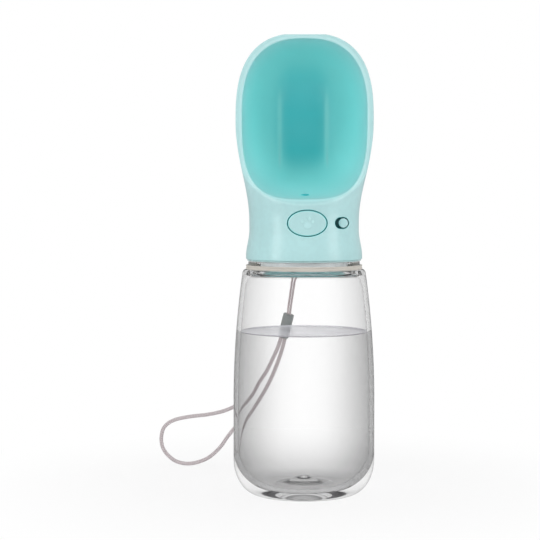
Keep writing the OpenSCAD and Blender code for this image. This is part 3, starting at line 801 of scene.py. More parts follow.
@dataclass
class BottleSet:
    """Clear bottle with its thick floor, threaded neck, silicone ring and the water in it."""

    body_r: float = 34.65
    foot_r: float = 23.0
    corner_h: float = 17.0
    taper_z: float = 45.0
    taper: float = 4.35
    ledge_z: float = 110.6
    shoulder_h: float = 2.4
    shoulder_w: float = 2.0
    wall: float = 2.2
    floor_t: float = 3.4
    dome_r: float = 12.0
    dome_h: float = 4.0
    dish_in: float = 7.0
    dish_h: float = 1.6
    inside_round: float = 4.0
    inside_foot: float = 14.0
    collar_r: float = 27.3
    collar_h: float = 3.8
    neck_r: float = 23.4
    neck_wall: float = 1.6
    neck_h: float = 9.6
    lead: float = 4.0
    ridge: float = 0.7
    ring_out: float = 28.5
    ring_h: float = 2.1
    water_z: float = 79.5
    segments: int = 256

    @property
    def shoulder_z(self) -> float:
        """Height at which the shoulder starts to round over."""
        return self.ledge_z - self.shoulder_h

    def side(self, z: np.ndarray) -> np.ndarray:
        """Outer radius at a height: the body's, less the taper times the squared share of the way up."""
        t = np.maximum(0, z - self.taper_z) / (self.shoulder_z - self.taper_z)
        return self.body_r - self.taper * t**2

    def outer_line(self) -> np.ndarray:
        """Outside of the bottle in (radius, height): dish, foot, quarter-ellipse corner, side, shoulder,
        collar and neck."""
        dish_r = self.foot_r - self.dish_in
        r = np.linspace(0, dish_r, 24)
        dish = np.stack([r, self.dish_h * (1 - (r / dish_r) ** 2)], 1)
        a = np.radians(np.linspace(0, 90, 40))
        corner_w = self.body_r - self.foot_r
        corner = np.stack([self.foot_r + corner_w * np.sin(a), self.corner_h * (1 - np.cos(a))], 1)
        z = np.linspace(self.corner_h + 1, self.shoulder_z - 0.3, 80)
        side = np.stack([self.side(z), z], 1)
        round_r, few = self.body_r - self.taper - self.shoulder_w, a[::4]
        round_z = self.shoulder_z + self.shoulder_h * np.sin(few)
        shoulder = np.stack([round_r + self.shoulder_w * np.cos(few), round_z], 1)
        bore, collar_z = self.neck_r - self.neck_wall, self.ledge_z + self.collar_h
        neck_z = collar_z + self.neck_h
        top = rounded(
            [
                (round_r - 0.2, self.ledge_z),
                (self.collar_r, self.ledge_z),
                (self.collar_r, collar_z),
                (self.neck_r, collar_z),
                (self.neck_r, neck_z),
                (bore, neck_z),
                (bore, neck_z - 2),
            ],
            0.35,
        )
        return np.vstack([dish, corner, side, shoulder, top])

    def inner_line(self, lift: float = 0.0) -> np.ndarray:
        """Inside of the bottle in (radius, height), from the neck by its rounded shoulder, side and corner to
        the dome; lift moves it into the wall."""
        bore, bend, low_r = self.neck_r - self.neck_wall, self.inside_round, self.inside_foot
        neck = np.array([[bore, self.ledge_z + 8], [bore, self.ledge_z - 1.2]])
        a = np.radians(np.linspace(90, 0, 16))
        round_r = self.body_r - self.taper - self.wall - bend
        shoulder = np.stack([round_r + bend * np.cos(a), self.shoulder_z - 3.6 + bend * np.sin(a)], 1)
        z = np.linspace(self.shoulder_z - 5, self.taper_z - 22.4, 90)
        side = np.stack([self.side(z) - self.wall, z], 1)
        b = np.radians(np.linspace(89, 6, 40))
        corner_r = low_r + (self.body_r - self.wall - low_r) * np.sin(b)
        corner = np.stack([corner_r, self.floor_t + (self.corner_h + 2) * (1 - np.cos(b))], 1)
        r = np.linspace(low_r + 1, 0, 30)
        dome = np.stack([r, self.floor_t + self.dome_h * ease(1 - r / self.dome_r)], 1)
        line = np.vstack([neck, shoulder, side, corner, dome])
        if lift:
            line = line + np.array([lift, -lift]) * (line[:, :1] > 0.01)
        return line

    def thread(self) -> Skin:
        """Screw rib on the outside of the neck."""
        return screw_rib(self.neck_r, self.ridge, self.ledge_z + self.collar_h + 2, self.lead)

    def ring_line(self) -> np.ndarray:
        """Section of the silicone ring: a rounded bar with a shallow groove in its outer side."""
        r0, r1, z0, z1 = self.collar_r + 0.05, self.ring_out, self.ledge_z, self.ledge_z + self.ring_h
        deep, tall, mid = 0.3, 0.35, z0 + 0.55 * self.ring_h
        groove = [(r1, mid - tall), (r1 - deep, mid), (r1, mid + tall)]
        return rounded([(r0, z0), (r1, z0), *groove, (r1, z1), (r0, z1)], 0.28, True)

    def water_line(self) -> np.ndarray:
        """Water against the inside of the bottle, up to a level with a small meniscus at the wall."""
        sunk, film = 0.06, 0.1
        wall = self.inner_line(sunk)[::-1]
        wall = wall[wall[:, 1] < self.water_z]
        wall[0, 0] = 0.0
        edge = self.side(np.array([self.water_z]))[0] - self.wall + sunk
        r = np.concatenate([edge - np.linspace(0, 2.4, 14), np.linspace(edge - 3.2, 0, 16)])
        rise = 0.9 * np.exp(-(edge - r) / 0.7)
        return np.vstack([wall, np.stack([r, self.water_z - film + rise], 1)])

    def build(self) -> None:
        """Builds and dresses the bottle, its ring and the water, whose top takes the paler film."""
        line = np.vstack([self.outer_line(), self.inner_line()])
        shell = joined(turned(line, self.segments), self.thread())
        bottle = as_object("clear_bottle", shell, ClearPlastic("clear_moulded_wall").material())
        placed(bottle, Body.BOTTLE, Slot.CLEAR, "bottle")
        silicone = SoftSilicone("warm_grey_silicone", (0.81, 0.79, 0.755)).material()
        ring = as_object("shoulder_ring", turned(self.ring_line(), self.segments), silicone)
        placed(ring, Body.BOTTLE, Slot.GREY_SILICONE, "collar_ring")
        still = StillWater("still_water", top=False).material()
        water = as_object("water", turned(self.water_line(), self.segments), still, 60)
        water.data.materials.append(StillWater("water_surface", top=True).material())
        faces = water.data.polygons
        high = read(faces, "center", 3)[:, 2] > (self.water_z - 0.15) * MM
        level = read(faces, "normal", 3)[:, 2] > 0.3
        faces.foreach_set("material_index", (high & level).astype(np.int32))
        placed(water, Body.BOTTLE, None)


@dataclass
class HeadForm:
    """Outside of the head and its scoop-shaped trough, worked out height by height."""

    shell_z: float = 115.5
    edge_r: float = 28.45
    waist_r: float = 26.8
    head_w: float = 33.3
    waist_z: float = 133.0
    wide_z: float = 182.0
    belly_z: float = 175.0
    top_z: float = 223.8
    lip_z: float = 142.3
    rim_w: float = 2.6
    back_y: float = 29.5
    rim_y: float = -11.5
    rim_set: float = 15.6
    rim_lean: float = 2.5
    level_z: float = 165.0
    mouth_r: float = 30.2
    mouth_z: float = 185.0
    mouth_top: float = 221.8
    edge_round: float = 0.9
    inner_round: float = 0.8
    foot_round: float = 0.35
    chamber_r: float = 24.6
    chamber_z: float = 141.5
    deck_z: float = 126.8
    skirt_r: float = 25.55
    key_x: float = 1.0
    key_z: float = 133.5
    key_w: float = 19.2
    key_h: float = 12.8
    slot_x: float = 17.7
    slot_w: float = 6.9
    slot_h: float = 5.5
    outlet_x: float = 0.5
    outlet_y: float = -8.5
    outlet_r: float = 1.6
    columns: int = 220
    foot_turn: np.ndarray = field(default_factory=lambda: np.linspace(0.4, np.pi / 2, 4))
    top_share: np.ndarray = field(default_factory=lambda: np.linspace(0, 1, 12)[1:])

    def half(self, z: np.ndarray) -> np.ndarray:
        """Half width at a height: drawn in to the waist, out to the widest place, round to the top."""
        low = self.edge_r - (self.edge_r - self.waist_r) * ease((z - self.shell_z - 1.5) / 13)
        share = ease((z - self.waist_z) / (self.wide_z - self.waist_z))
        middle = self.waist_r + (self.head_w - self.waist_r) * share
        high = self.head_w * arch((z - self.wide_z) / (self.top_z + 0.6 - self.wide_z), 2.7)
        return np.where(z < self.waist_z, low, np.where(z < self.wide_z, middle, high))

    def back(self, z: np.ndarray) -> np.ndarray:
        """Depth of the back at a height: follows the waist, bulges, then comes over to the rim's top."""
        rim_top = self.rim_y - self.rim_lean
        share = ease((z - self.waist_z) / (self.belly_z - self.waist_z))
        middle = self.waist_r + (self.back_y - self.waist_r) * share
        over = arch((z - self.belly_z) / (self.top_z + 0.6 - self.belly_z), 2.3)
        high = rim_top + (self.back_y - rim_top) * over
        return np.where(z < self.waist_z, self.half(z), np.where(z < self.belly_z, middle, high))

    def rim(self, z: np.ndarray) -> np.ndarray:
        """Depth of the rim's plane: swept back from the lip, then leaning forward to the top."""
        t = np.clip((z - self.lip_z) / (self.level_z - self.lip_z), 0, 1)
        low = self.rim_y - self.rim_set * (1 - t) ** 2.4
        up = np.clip((z - self.level_z) / (self.top_z - self.level_z), 0, 1)
        return np.where(z < self.level_z, low, self.rim_y - self.rim_lean * up**1.5)

    def middle(self, z: np.ndarray) -> np.ndarray:
        """Depth at which a level is widest."""
        spread = self.lip_z - 4.3
        below = self.rim_y * ease((z - spread) / (self.level_z - spread))
        return np.where(z < self.level_z, below, self.rim(z))

    def deep(self, z: np.ndarray) -> np.ndarray:
        """How far a level reaches forward of its widest depth, before the rim cuts it."""
        front = np.where(z < self.lip_z, self.half(z), self.half(np.full_like(z, self.lip_z)))
        return np.maximum(1.5, front + self.middle(z))

    def bend(self, z: np.ndarray) -> np.ndarray:
        """Superellipse power of a level."""
        return 2 + 0.2 * ease((z - self.waist_z) / 30)

    def cut(self, z: np.ndarray, inset: float) -> np.ndarray:
        """Share of the forward reach that is left at the rim, 1 where the level is a full ring.

        The rim's plane, lowered and set back by inset, is divided by the level's reach; it is scaled so
        that it just meets the front at the lip.
        """
        lip = np.array([self.lip_z])
        whole = ((self.middle(lip) - self.rim(lip)) / self.deep(lip))[0]
        start = self.lip_z - inset
        lifted = z + inset * (1 - ease((z - self.lip_z) / 18))
        plane = self.rim(lifted) + inset * ease((z - start) / 5)
        share = (self.middle(z) - plane) / self.deep(z) / whole
        return np.where(z <= start, 1.0, np.clip(share, 0, 1))

    def rim_line(self, z: np.ndarray) -> np.ndarray:
        """Depth of the sharp rim edge at a height."""
        lip_y = -self.half(np.array([self.lip_z]))[0]
        level = np.maximum(self.middle(z) - self.deep(z) * self.cut(z, 0.0), lip_y)
        return np.where(z > self.level_z, self.rim(z), level)

    def level(self, z: np.ndarray, inset: float, count: int) -> np.ndarray:
        """Outer rings of the head at given heights.

        At angle a a ring has x = w cos(a)^(2/n), y = mid + (back - mid or deep) sin(a)^(2/n), from the
        cut on its right, round the back, to the cut on its left. Points are evened out by length.

        Args:
            z: Heights.
            inset: How far the ring stops short of the sharp rim.
            count: Points in a ring.

        Returns:
            Heights by count by 3 points.
        """
        fine = 720
        outlines = (self.half, self.middle, self.deep, self.back, self.bend)
        w, mid, deep, back, n = (outline(z)[:, None] for outline in outlines)
        start = np.arcsin(np.clip(self.cut(z, inset)[:, None], 0, 1) ** (n / 2))
        a = -start + (np.pi + 2 * start) * np.linspace(0, 1, fine)[None]
        s = np.sin(a)
        reach = np.where(s < 0, deep, back - mid)
        x, y = w * power(np.cos(a), 2 / n), mid + reach * power(s, 2 / n)
        high = z[:, None] > self.level_z
        y = np.where(high, np.maximum(y, mid + inset * (back > mid + 2 * inset)), y)
        length = np.concatenate([0 * x[:, :1], np.cumsum(np.hypot(np.diff(x), np.diff(y)), 1)], 1)
        even = np.linspace(0, 1, count)
        rows = [
            np.stack([*(np.interp(even * ln[-1], ln, row) for row in (xr, yr)), np.full(count, zr)], 1)
            for ln, xr, yr, zr in zip(length, x, y, z)
        ]
        return np.array(rows)

    def mouth_half(self, z: np.ndarray) -> np.ndarray:
        """Half width of the trough's opening at a height."""
        low = self.mouth_r * arch((self.mouth_z - z) / (self.mouth_z - self.lip_z - self.rim_w), 3.2)
        high = self.mouth_r * arch((z - self.mouth_z) / (self.mouth_top - self.mouth_z), 2.55)
        return np.where(z < self.mouth_z, low, high)

    def mouth_back(self, z: np.ndarray) -> np.ndarray:
        """Depth of the trough's back at a height: a quarter ellipse below, a superellipse above."""
        rim_top, foot_y, reach = self.rim_y - self.rim_lean, -24.5, 51.4
        low = foot_y + reach * arch((self.mouth_z - z) / (self.mouth_z - self.lip_z - self.rim_w), 2)
        up = arch((z - self.mouth_z) / (self.mouth_top + 0.4 - self.mouth_z), 2.2)
        high = rim_top + (self.back_y - self.rim_w - rim_top) * up
        return np.where(z < self.mouth_z, low, high)

    def hollow(self, x: np.ndarray, z: np.ndarray) -> np.ndarray:
        """Depth of the trough's surface seen from the front: rim + d (1 - (x/w)^(2/0.9))^0.45."""
        w = np.maximum(self.mouth_half(z), 1e-6)
        rim = self.rim_line(z)
        d = np.maximum(self.mouth_back(z) - rim, 0.0)
        return rim + d * np.maximum(0, 1 - np.clip(np.abs(x) / w, 0, 1) ** (2 / 0.9)) ** 0.45

    def mouth_edge(self, toward: np.ndarray) -> np.ndarray:
        """Points of the opening's edge in the directions of given (x, z) points from its middle."""
        t = np.linspace(0, 1, 1500)
        low = self.lip_z + self.rim_w
        below = low + (self.mouth_z - low) * t**2
        above = self.mouth_z + (self.mouth_top - self.mouth_z) * (1 - (1 - t) ** 2)
        z = np.concatenate([below, above])
        x = self.mouth_half(z)
        angle = np.arctan2(z - self.mouth_z, x)
        order = np.argsort(angle)
        want = np.arctan2(toward[:, 1] - self.mouth_z, np.abs(toward[:, 0]))
        radius = np.interp(want, angle[order], np.hypot(x, z - self.mouth_z)[order])
        ex, ez = radius * np.cos(want) * np.sign(toward[:, 0] + 1e-12), self.mouth_z + radius * np.sin(want)
        ex = np.where(np.abs(toward[:, 0]) < 1e-6, 0.0, ex)
        return np.stack([ex, self.rim_line(ez), ez], 1)

    def heights(self) -> tuple[np.ndarray, int]:
        """Heights of the outer rings, close together where they bend, and the place of the first open one."""
        r = self.edge_round
        foot = self.shell_z + self.foot_round * (1 - np.cos(self.foot_turn))
        low = np.concatenate([[self.shell_z], foot, np.linspace(self.shell_z + 1, self.lip_z - r, 44)])
        t = np.linspace(0, 1, 70)[1:]
        open_z = self.lip_z - r + (self.level_z - self.lip_z + r) * t**1.6
        open_z = open_z[self.cut(open_z, r) < 0.9999]
        up = self.level_z + (self.wide_z - self.level_z) * np.linspace(0, 1, 14)[1:]
        crown = self.wide_z + (self.top_z - self.wide_z) * np.sin(np.linspace(0, np.pi / 2, 46)[1:])
        return np.concatenate([low, open_z, up, crown]), len(low) - 1

    def outside(self, z: np.ndarray) -> np.ndarray:
        """Rings of the outside, on a flat floor with a rounded edge and under a top drawn in to the rim."""
        rings = self.level(z, self.edge_round, self.columns)
        share = self.foot_round / self.edge_r
        foot = np.array([1.0 - share, *(1 - share * (1 - np.sin(self.foot_turn)))])
        rings[: len(foot), :, :2] *= foot[:, None, None]
        front = np.array([0.0, self.rim_y - self.rim_lean + self.edge_round, self.top_z])
        drawn = self.top_share[:, None, None]
        cap = rings[-1][None] * (1 - drawn) + front * drawn
        floor = np.repeat(np.array([[[0.0, 0.0, self.shell_z]]]), self.columns, 1)
        return np.concatenate([floor, rings, cap])

    def rim_edge(self, z: np.ndarray) -> np.ndarray:
        """Sharp rim edge beside each ring of the opening: up its right, over the top and down its left."""
        over = np.concatenate([np.zeros(len(z)), self.top_share])
        z = np.concatenate([z, np.full(len(self.top_share), self.top_z)])
        z = np.minimum(self.top_z, z + self.edge_round * (1 - ease((z - self.lip_z) / 18)))
        x = self.half(z) * arch(self.cut(z, 0.0), self.bend(z)) * (1 - over)
        x[0] = 0.0
        right = np.stack([x, self.rim_line(z), z], 1)
        return np.concatenate([right, (right * [-1, 1, 1])[::-1][1:]])

    def trough_shade_and_highlight(self, bowl: np.ndarray) -> np.ndarray:
        """Tone of the trough: painted shade, darker inwards and in a soft band down its back, and a painted
        highlight in two pale stripes.
        """
        side, y, z = np.abs(bowl[..., 0]), bowl[..., 1], bowl[..., 2]
        away = (y - self.rim_line(z)) / (self.back_y - self.rim_w - self.rim_y)
        shade_panel = (1 - ease((side - 5) / 12)) * ease((z - 150) / 22) * (1 - ease((z - 190) / 34))
        # Two pale stripes down the trough's sides: a painted highlight.
        highlight_streak = np.exp(-(((side - 11.8) / 1.1) ** 2)) * ease((z - 156) / 10) * (1 - ease((z - 188) / 16))
        return np.clip(0.1 + 0.55 * away + 0.32 * shade_panel - 0.3 * highlight_streak, 0, 1)

    def shell(self) -> Skin:
        """Closed skin of the head before its chamber and openings are cut: the outside, the rim rounded over
        on both its edges, and the trough inside the rim."""
        z, first = self.heights()
        outside = self.outside(z)
        right, left = outside[first + 1 :, 0], outside[first + 1 :, -1]
        loop = np.concatenate([right, left[::-1][1:]])
        edge = self.rim_edge(z[first:])
        inner = self.mouth_edge(edge[:, [0, 2]])
        toward = inner - edge
        gap = np.linalg.norm(toward, axis=1, keepdims=True)
        unit = toward / gap
        b = edge + unit * np.minimum(self.edge_round, 0.3 * gap)
        c = inner - unit * np.minimum(self.inner_round, 0.3 * gap)
        t = np.linspace(0, 1, 7)[:, None, None]
        outer_turn = bent(t, loop, edge, b)
        band = b[None] + np.linspace(0, 1, 5)[1:-1, None, None] * (c - b)[None]
        inner_turn = bent(t, c, inner, inner + np.array([0, self.inner_round, 0]))
        rho = np.sin(np.linspace(np.pi / 2, 0, 72)[1:])
        centre = np.array([0.0, self.mouth_z])
        flat = centre + (inner[:, [0, 2]] - centre)[None] * rho[:, None, None]
        x, high = flat[..., 0], flat[..., 1]
        bowl_y = np.maximum(self.hollow(x, high), self.rim_line(high) + self.inner_round)
        bowl = np.stack([x, bowl_y, high], -1)
        rim = np.concatenate([outer_turn, band, inner_turn])
        # The band round the rim grows to the pale colour at its inner edge: a painted highlight.
        pale = [np.zeros(len(outer_turn) - 1), np.linspace(0, 1, len(band) + 2), np.ones(len(inner_turn) - 2)]
        rim_highlight = np.broadcast_to(np.concatenate([*pale, [-0.1]])[:, None], rim.shape[:2])
        tone = np.concatenate([-rim_highlight, self.trough_shade_and_highlight(bowl)])
        return joined(skin_of(outside), skin_of(np.concatenate([rim, bowl]), tone=tone)).outward()


@dataclass
class HeadSet(HeadForm):
    """Pieces of the head: its cut shell, the cup under it, the push key, the lock, the lug and the spring."""

    def tunnel(self, corner: np.ndarray, lip: float, far: float) -> Skin:
        """Cutter for an opening in the waist, flared where it meets the outside.

        Args:
            corner: Outline in (x, z), closed.
            lip: Radius of the rounding at the outside.
            far: Depth y at which the cutter ends.

        Returns:
            A closed skin. A point of its outline stands at y = -sqrt(R^2 - x^2) + t, widened by
            lip (1 - sqrt(1 - (1 - t/lip)^2)) for t from 0 to lip, and by more outside.
        """
        t = lip * (1 - np.cos(np.linspace(0, np.pi / 2, 7)))
        wide = lip * (1 - np.sqrt(np.clip(1 - (1 - t / lip) ** 2, 0, 1)))
        t = np.concatenate([[-3.0, -0.25], t])
        wide = np.concatenate([[lip + 0.3, lip + 0.02], wide])
        edge = corner[1:] - corner[:-1]
        normal = np.stack([edge[:, 1], -edge[:, 0]], 1)
        normal = np.vstack([normal, normal[:1]])
        normal = normal + np.roll(normal[:-1], 1, 0)[np.r_[0 : len(normal) - 1, 0]]
        normal /= np.linalg.norm(normal, axis=1, keepdims=True)
        if np.sum(normal * (corner - corner[:-1].mean(0))) < 0:
            normal = -normal
        points = corner[None] + normal[None] * wide[:, None, None]
        x, z = points[..., 0], points[..., 1]
        rows = np.stack([x, -np.sqrt(self.half(z) ** 2 - x**2) + t[:, None], z], -1)
        last = np.stack([corner[:, 0], np.full(len(corner), far), corner[:, 1]], -1)[None]
        return skin_of(plugged(np.concatenate([rows, last]))).outward()

    def key_outline(self) -> np.ndarray:
        """Oval of the key's opening in (x, z)."""
        a = full_turn(90)
        return np.stack([self.key_x + self.key_w / 2 * np.cos(a), self.key_z + self.key_h / 2 * np.sin(a)], 1)

    def slot_outline(self) -> np.ndarray:
        """Outline of the lock's slot in (x, z): two half circles joined by straight sides."""
        r, s = self.slot_h / 2, (self.slot_w - self.slot_h) / 2
        a = np.linspace(-np.pi / 2, np.pi / 2, 33)
        right = np.stack([self.slot_x + s + r * np.cos(a), self.key_z + r * np.sin(a)], 1)
        left = np.stack([self.slot_x - s - r * np.cos(a), self.key_z - r * np.sin(a)], 1)
        return np.vstack([right, left, right[:1]])

    def void(self) -> Skin:
        """Hollow between the trough's sloping back and the back of the head."""
        skin = 3.0
        z = np.linspace(self.chamber_z - 2, self.lip_z + 20, 24)
        y0 = np.maximum(-2, self.mouth_back(z + skin) + 1)
        y1 = self.back(z) - skin
        mid = self.middle(z)
        w = 0.9 * (self.half(z) - skin) * arch((y0 - mid) / (y1 + 1 - mid), 2)
        a = np.linspace(0, np.pi, 33)
        x = w[:, None] * np.cos(a)
        y = y0[:, None] + (y1 - y0)[:, None] * np.abs(np.sin(a)) ** 0.9
        grid = np.stack([x, y, np.broadcast_to(z[:, None], x.shape)], -1)
        return skin_of(plugged(np.concatenate([grid, grid[:, :1]], 1))).outward()

    def cylinder(
        self, radius: float, z0: float, z1: float, at: tuple[float, float] = (0.0, 0.0), segments: int = 160
    ) -> Skin:
        """Closed round cutter along Z, at a place (x, y)."""
        outline = np.array([[0, z0], [radius, z0], [radius, z1], [0, z1]], float)
        return turned(outline, segments).moved((*at, 0))

    def build_shell(self, finish: bpy.types.Material) -> bpy.types.Object:
        """Builds the head's shell and cuts its chamber, openings and outlet."""
        shell = as_object("head_body", self.shell(), finish)
        cutters = [
            self.tunnel(self.slot_outline(), 0.35, -10.0),
            self.cylinder(self.skirt_r, self.shell_z - 2, self.deck_z),
            self.cylinder(self.chamber_r, self.deck_z - 1, self.chamber_z),
            self.void(),
            self.cylinder(
                self.outlet_r, self.chamber_z - 2, self.chamber_z + 8, (self.outlet_x, self.outlet_y), 48
            ),
            self.tunnel(self.key_outline(), 0.4, -10.0),
        ]
        carved(shell, cutters, 32)
        self.shade_openings(shell.data)
        return placed(shell, Body.HEAD, Slot.MINT, "head_shell")

    def shade_openings(self, mesh: bpy.types.Mesh) -> None:
        """Paints shade on the walls of the key's opening, the lock's slot and the outlet: the deep tone,
        growing over their rounded edges with the depth y + sqrt(R^2 - x^2)."""
        front_y, edge_t, near = -9, 0.3, 0.45
        x, y, z = read(mesh.vertices, "co", 3).T / MM
        layer = mesh.attributes["tone"].data
        tone = read(layer, "value")
        right, up = np.abs(x - self.key_x), np.abs(z - self.key_z)
        key = np.hypot(right / (self.key_w / 2 + near), up / (self.key_h / 2 + near)) < 1
        slot = (np.abs(x - self.slot_x) < self.slot_w / 2 + 0.4) & (up < self.slot_h / 2 + 0.4)
        depth = y + np.sqrt(np.maximum(self.half(z) ** 2 - x**2, 0))
        tone = np.where((key | slot) & (y < front_y), np.clip(depth / edge_t, 0, 1), tone)
        outlet = (np.hypot(x - self.outlet_x, y - self.outlet_y) < self.outlet_r + 0.05) & (z < self.mouth_z)
        layer.foreach_set("value", np.where(outlet, 1, tone).astype(np.float32))

    def paw(self, x: np.ndarray, z: np.ndarray) -> np.ndarray:
        """Height of a plain paw mark, a rounded pad under four toes, each a raised oval; from 0 to 1."""
        toes = [(2.55, 0.75, 0.62, 0.85), (0.95, 1.95, 0.62, 0.9)]
        marks = [(0, -1.15, 1.75, 1.45), *toes, *[(-cx, cz, rx, rz) for cx, cz, rx, rz in toes]]
        height = np.zeros_like(x)
        for cx, cz, rx, rz in marks:
            d = np.hypot((x - self.key_x - cx) / rx, (z - self.key_z - cz) / rz)
            height = np.maximum(height, 1 - ease((d - 0.82) / 0.36))
        return height

    def build_key(self, finish: bpy.types.Material) -> bpy.types.Object:
        """Builds the oval push key: ovals carried from the face's middle over a rounded edge, back along
        the skirt, up inside it and down round the socket of the rod."""
        face_r, slim, wall, skin, edge = self.waist_r + 0.1, 0.35, 1.2, 1.6, 0.55
        rear, socket_r, socket_y, hole_r, hole_y, relief = -16.3, 2.8, -18.3, 1.5, -24.6, 0.2
        a = full_turn(160)
        hx, hz = self.key_w / 2 - slim, self.key_h / 2 - slim
        rings: list[tuple[np.ndarray, np.ndarray | float, np.ndarray]] = []

        def add(ax: float, az: float, y: float) -> None:
            """One oval at a depth."""
            rings.append((self.key_x + ax * np.cos(a), y, self.key_z + az * np.sin(a)))

        def add_front(ax: float, az: float, radius: float, back: float = 0.0, mark: float = 0.0) -> None:
            """One oval on the key's curved face, at y = -sqrt(R^2 - x^2) + back, less the raised mark."""
            x, z = self.key_x + ax * np.cos(a), self.key_z + az * np.sin(a)
            rings.append((x, -np.sqrt(radius**2 - x**2) + back - mark * self.paw(x, z), z))

        face_share = np.sin(np.linspace(0, np.pi / 2, 40))
        turn = np.linspace(0, np.pi / 2, 7)[1:]
        for s in face_share:
            add_front((hx - edge) * s, (hz - edge) * s, face_r, mark=relief)
        for t in turn:
            out = edge * np.sin(t) - edge
            add_front(hx + out, hz + out, face_r, edge * (1 - np.cos(t)))
        for inwards, y in ((0.0, rear - 0.3), (0.2 * wall, rear), (wall, rear)):
            add(hx - inwards, hz - inwards, y)
        add_front(hx - wall, hz - wall, face_r - skin)
        add_front(socket_r, socket_r, face_r - skin)
        for radius, y in ((socket_r, socket_y), (hole_r, socket_y), (hole_r, hole_y), (0.0, hole_y)):
            add(radius, radius, y)
        grid = np.array([np.stack(np.broadcast_arrays(*ring), -1) for ring in rings])
        # The key's rounded edge and its skirt take the deep tone as painted shade in the gap round the key;
        # the raised paw mark takes the pale colour.
        flat = len(face_share)
        deep = np.ones(len(rings) - flat - len(turn))
        tone = np.concatenate([np.zeros(flat), np.linspace(0.1, 1, len(turn)), deep])
        mark = 0.6 * self.paw(grid[..., 0], grid[..., 2]) * (np.arange(len(grid)) < flat)[:, None]
        key = as_object("push_key", skin_of(grid, tone=tone[:, None] - mark).outward(), finish, 36)
        return placed(key, Body.KEY, Slot.MINT, "water_key")

    def rounded_block(self, low: Sequence[float], high: Sequence[float], radius: float) -> Skin:
        """Block with round edges: a rounded outline in X and Z, drawn in at both ends along Y."""
        lo, hi = np.asarray(low, float), np.asarray(high, float)
        mid, half = (lo + hi) / 2, (hi - lo) / 2
        corners = [(-half[0], -half[2]), (half[0], -half[2]), (half[0], half[2]), (-half[0], half[2])]
        outline = rounded(corners, radius * 2, True)
        t = np.linspace(0, np.pi / 2, 5)
        inwards, along = radius * (1 - np.sin(t)), radius * (1 - np.cos(t)) - half[1]
        draw = np.concatenate([inwards, inwards[::-1]])
        y = np.concatenate([along, -along[::-1]])
        ring = outline[None] * (1 - draw[:, None, None] / half[[0, 2]])
        along_y = np.broadcast_to(y[:, None], ring.shape[:2])
        grid = plugged(np.stack([ring[..., 0], along_y, ring[..., 1]], -1))
        grid[[0, -1], :, ::2] = 0.0
        return skin_of(grid).outward().moved(mid)

    def build_lock(self, finish: bpy.types.Material) -> bpy.types.Object:
        """Builds the lock's knob on its sliding plate."""
        knob_x, knob_r, knob_out, plate_y, plate_t = self.slot_x + 0.6, 2.25, 0.9, -13.0, 1.2
        left, right, tall = self.key_x + self.key_w / 2 + 0.45, 20.2, 6.4
        face = -math.sqrt(self.waist_r**2 - knob_x**2) - knob_out
        foot = plate_y + 0.3
        section = [(0, face + 0.12), (0.6, face), (knob_r, face), (knob_r, foot), (0, foot)]
        knob = turned_y(rounded(section, 0.5, steps=7), (knob_x, self.key_z), 72)
        # The knob darkens in tone away from its face and the plate takes the full deep tone: painted shade
        # inside the slot.
        knob = knob.toned(ease((knob.points[:, 1] - face - 0.25) / 1.2))
        low, high = (left, plate_y, self.key_z - tall / 2), (right, plate_y + plate_t, self.key_z + tall / 2)
        plate = self.rounded_block(low, high, 0.2).toned(1.0)
        lock = as_object("lock_knob", joined(knob, plate), finish)
        return placed(lock, Body.LOCK, Slot.MINT, "lock_slider")

    def build_cup(self, finish: bpy.types.Material) -> bpy.types.Object:
        """Builds the cup under the head: plug tube, roof, skirt and flange in one turned section, with the
        screw rib inside it, two drilled bosses on it and the inlet hole through its roof."""
        bottle = BottleSet()
        plug_r, plug_in, plug_z, roof_z = 21.5, 20.3, bottle.ledge_z - 0.1, 125.2
        skirt_in, flange_z, flange_t, flange_r = 24.45, 114.75, 0.7, self.edge_r - 0.6
        outer, flange_top = self.skirt_r - 0.05, flange_z + flange_t
        ear_x, ear_y, ear_r, ear_h, screw_r, inlet_y, inlet_r = 8.6, 1.5, 2.6, 3.4, 1, 5.0, 2.0
        line = rounded(
            [
                *[(0, roof_z), (plug_in, roof_z), (plug_in, plug_z + 0.5), (plug_r - 0.6, plug_z)],
                *[(plug_r, plug_z + up) for up in (0.7, 1.2, 1.7)],
                *[(plug_r, roof_z), (skirt_in, roof_z), (skirt_in, flange_z), (flange_r, flange_z)],
                *[(flange_r, flange_top), (outer, flange_top), (outer, self.deck_z), (0, self.deck_z)],
            ],
            0.25,
        )
        cup = turned(line, 224)
        radius, height = np.hypot(cup.points[:, 0], cup.points[:, 1]), cup.points[:, 2]
        # The plug's lower lip takes the teal colour; the flange under the head takes part of it as painted
        # shade.
        lip = 1 - ease((height - plug_z - 0.9) / 0.5)
        flange = (radius > outer + 0.3) & (height > flange_z - 0.1)
        rib_z = bottle.ledge_z + bottle.collar_h + 2
        rib = screw_rib(skirt_in, -bottle.ridge, rib_z, bottle.lead, 180)
        section = [[0, -0.5], [ear_r, -0.5], [ear_r, ear_h], [screw_r, ear_h], [screw_r, 0.02], [0, 0.02]]
        boss = turned(np.array(section, float), 48)
        bosses = [boss.moved((self.key_x + side * ear_x, ear_y, self.deck_z)) for side in (-1, 1)]
        skin = joined(cup.toned(np.maximum(lip, 0.3 * flange)), rib, *bosses)
        obj = as_object("screw_cup", skin, finish)
        carved(obj, [self.cylinder(inlet_r, roof_z - 1, self.deck_z + 1, (self.key_x, inlet_y), 48)], 38)
        return placed(obj, Body.HEAD, Slot.TEAL, "lid_insert")

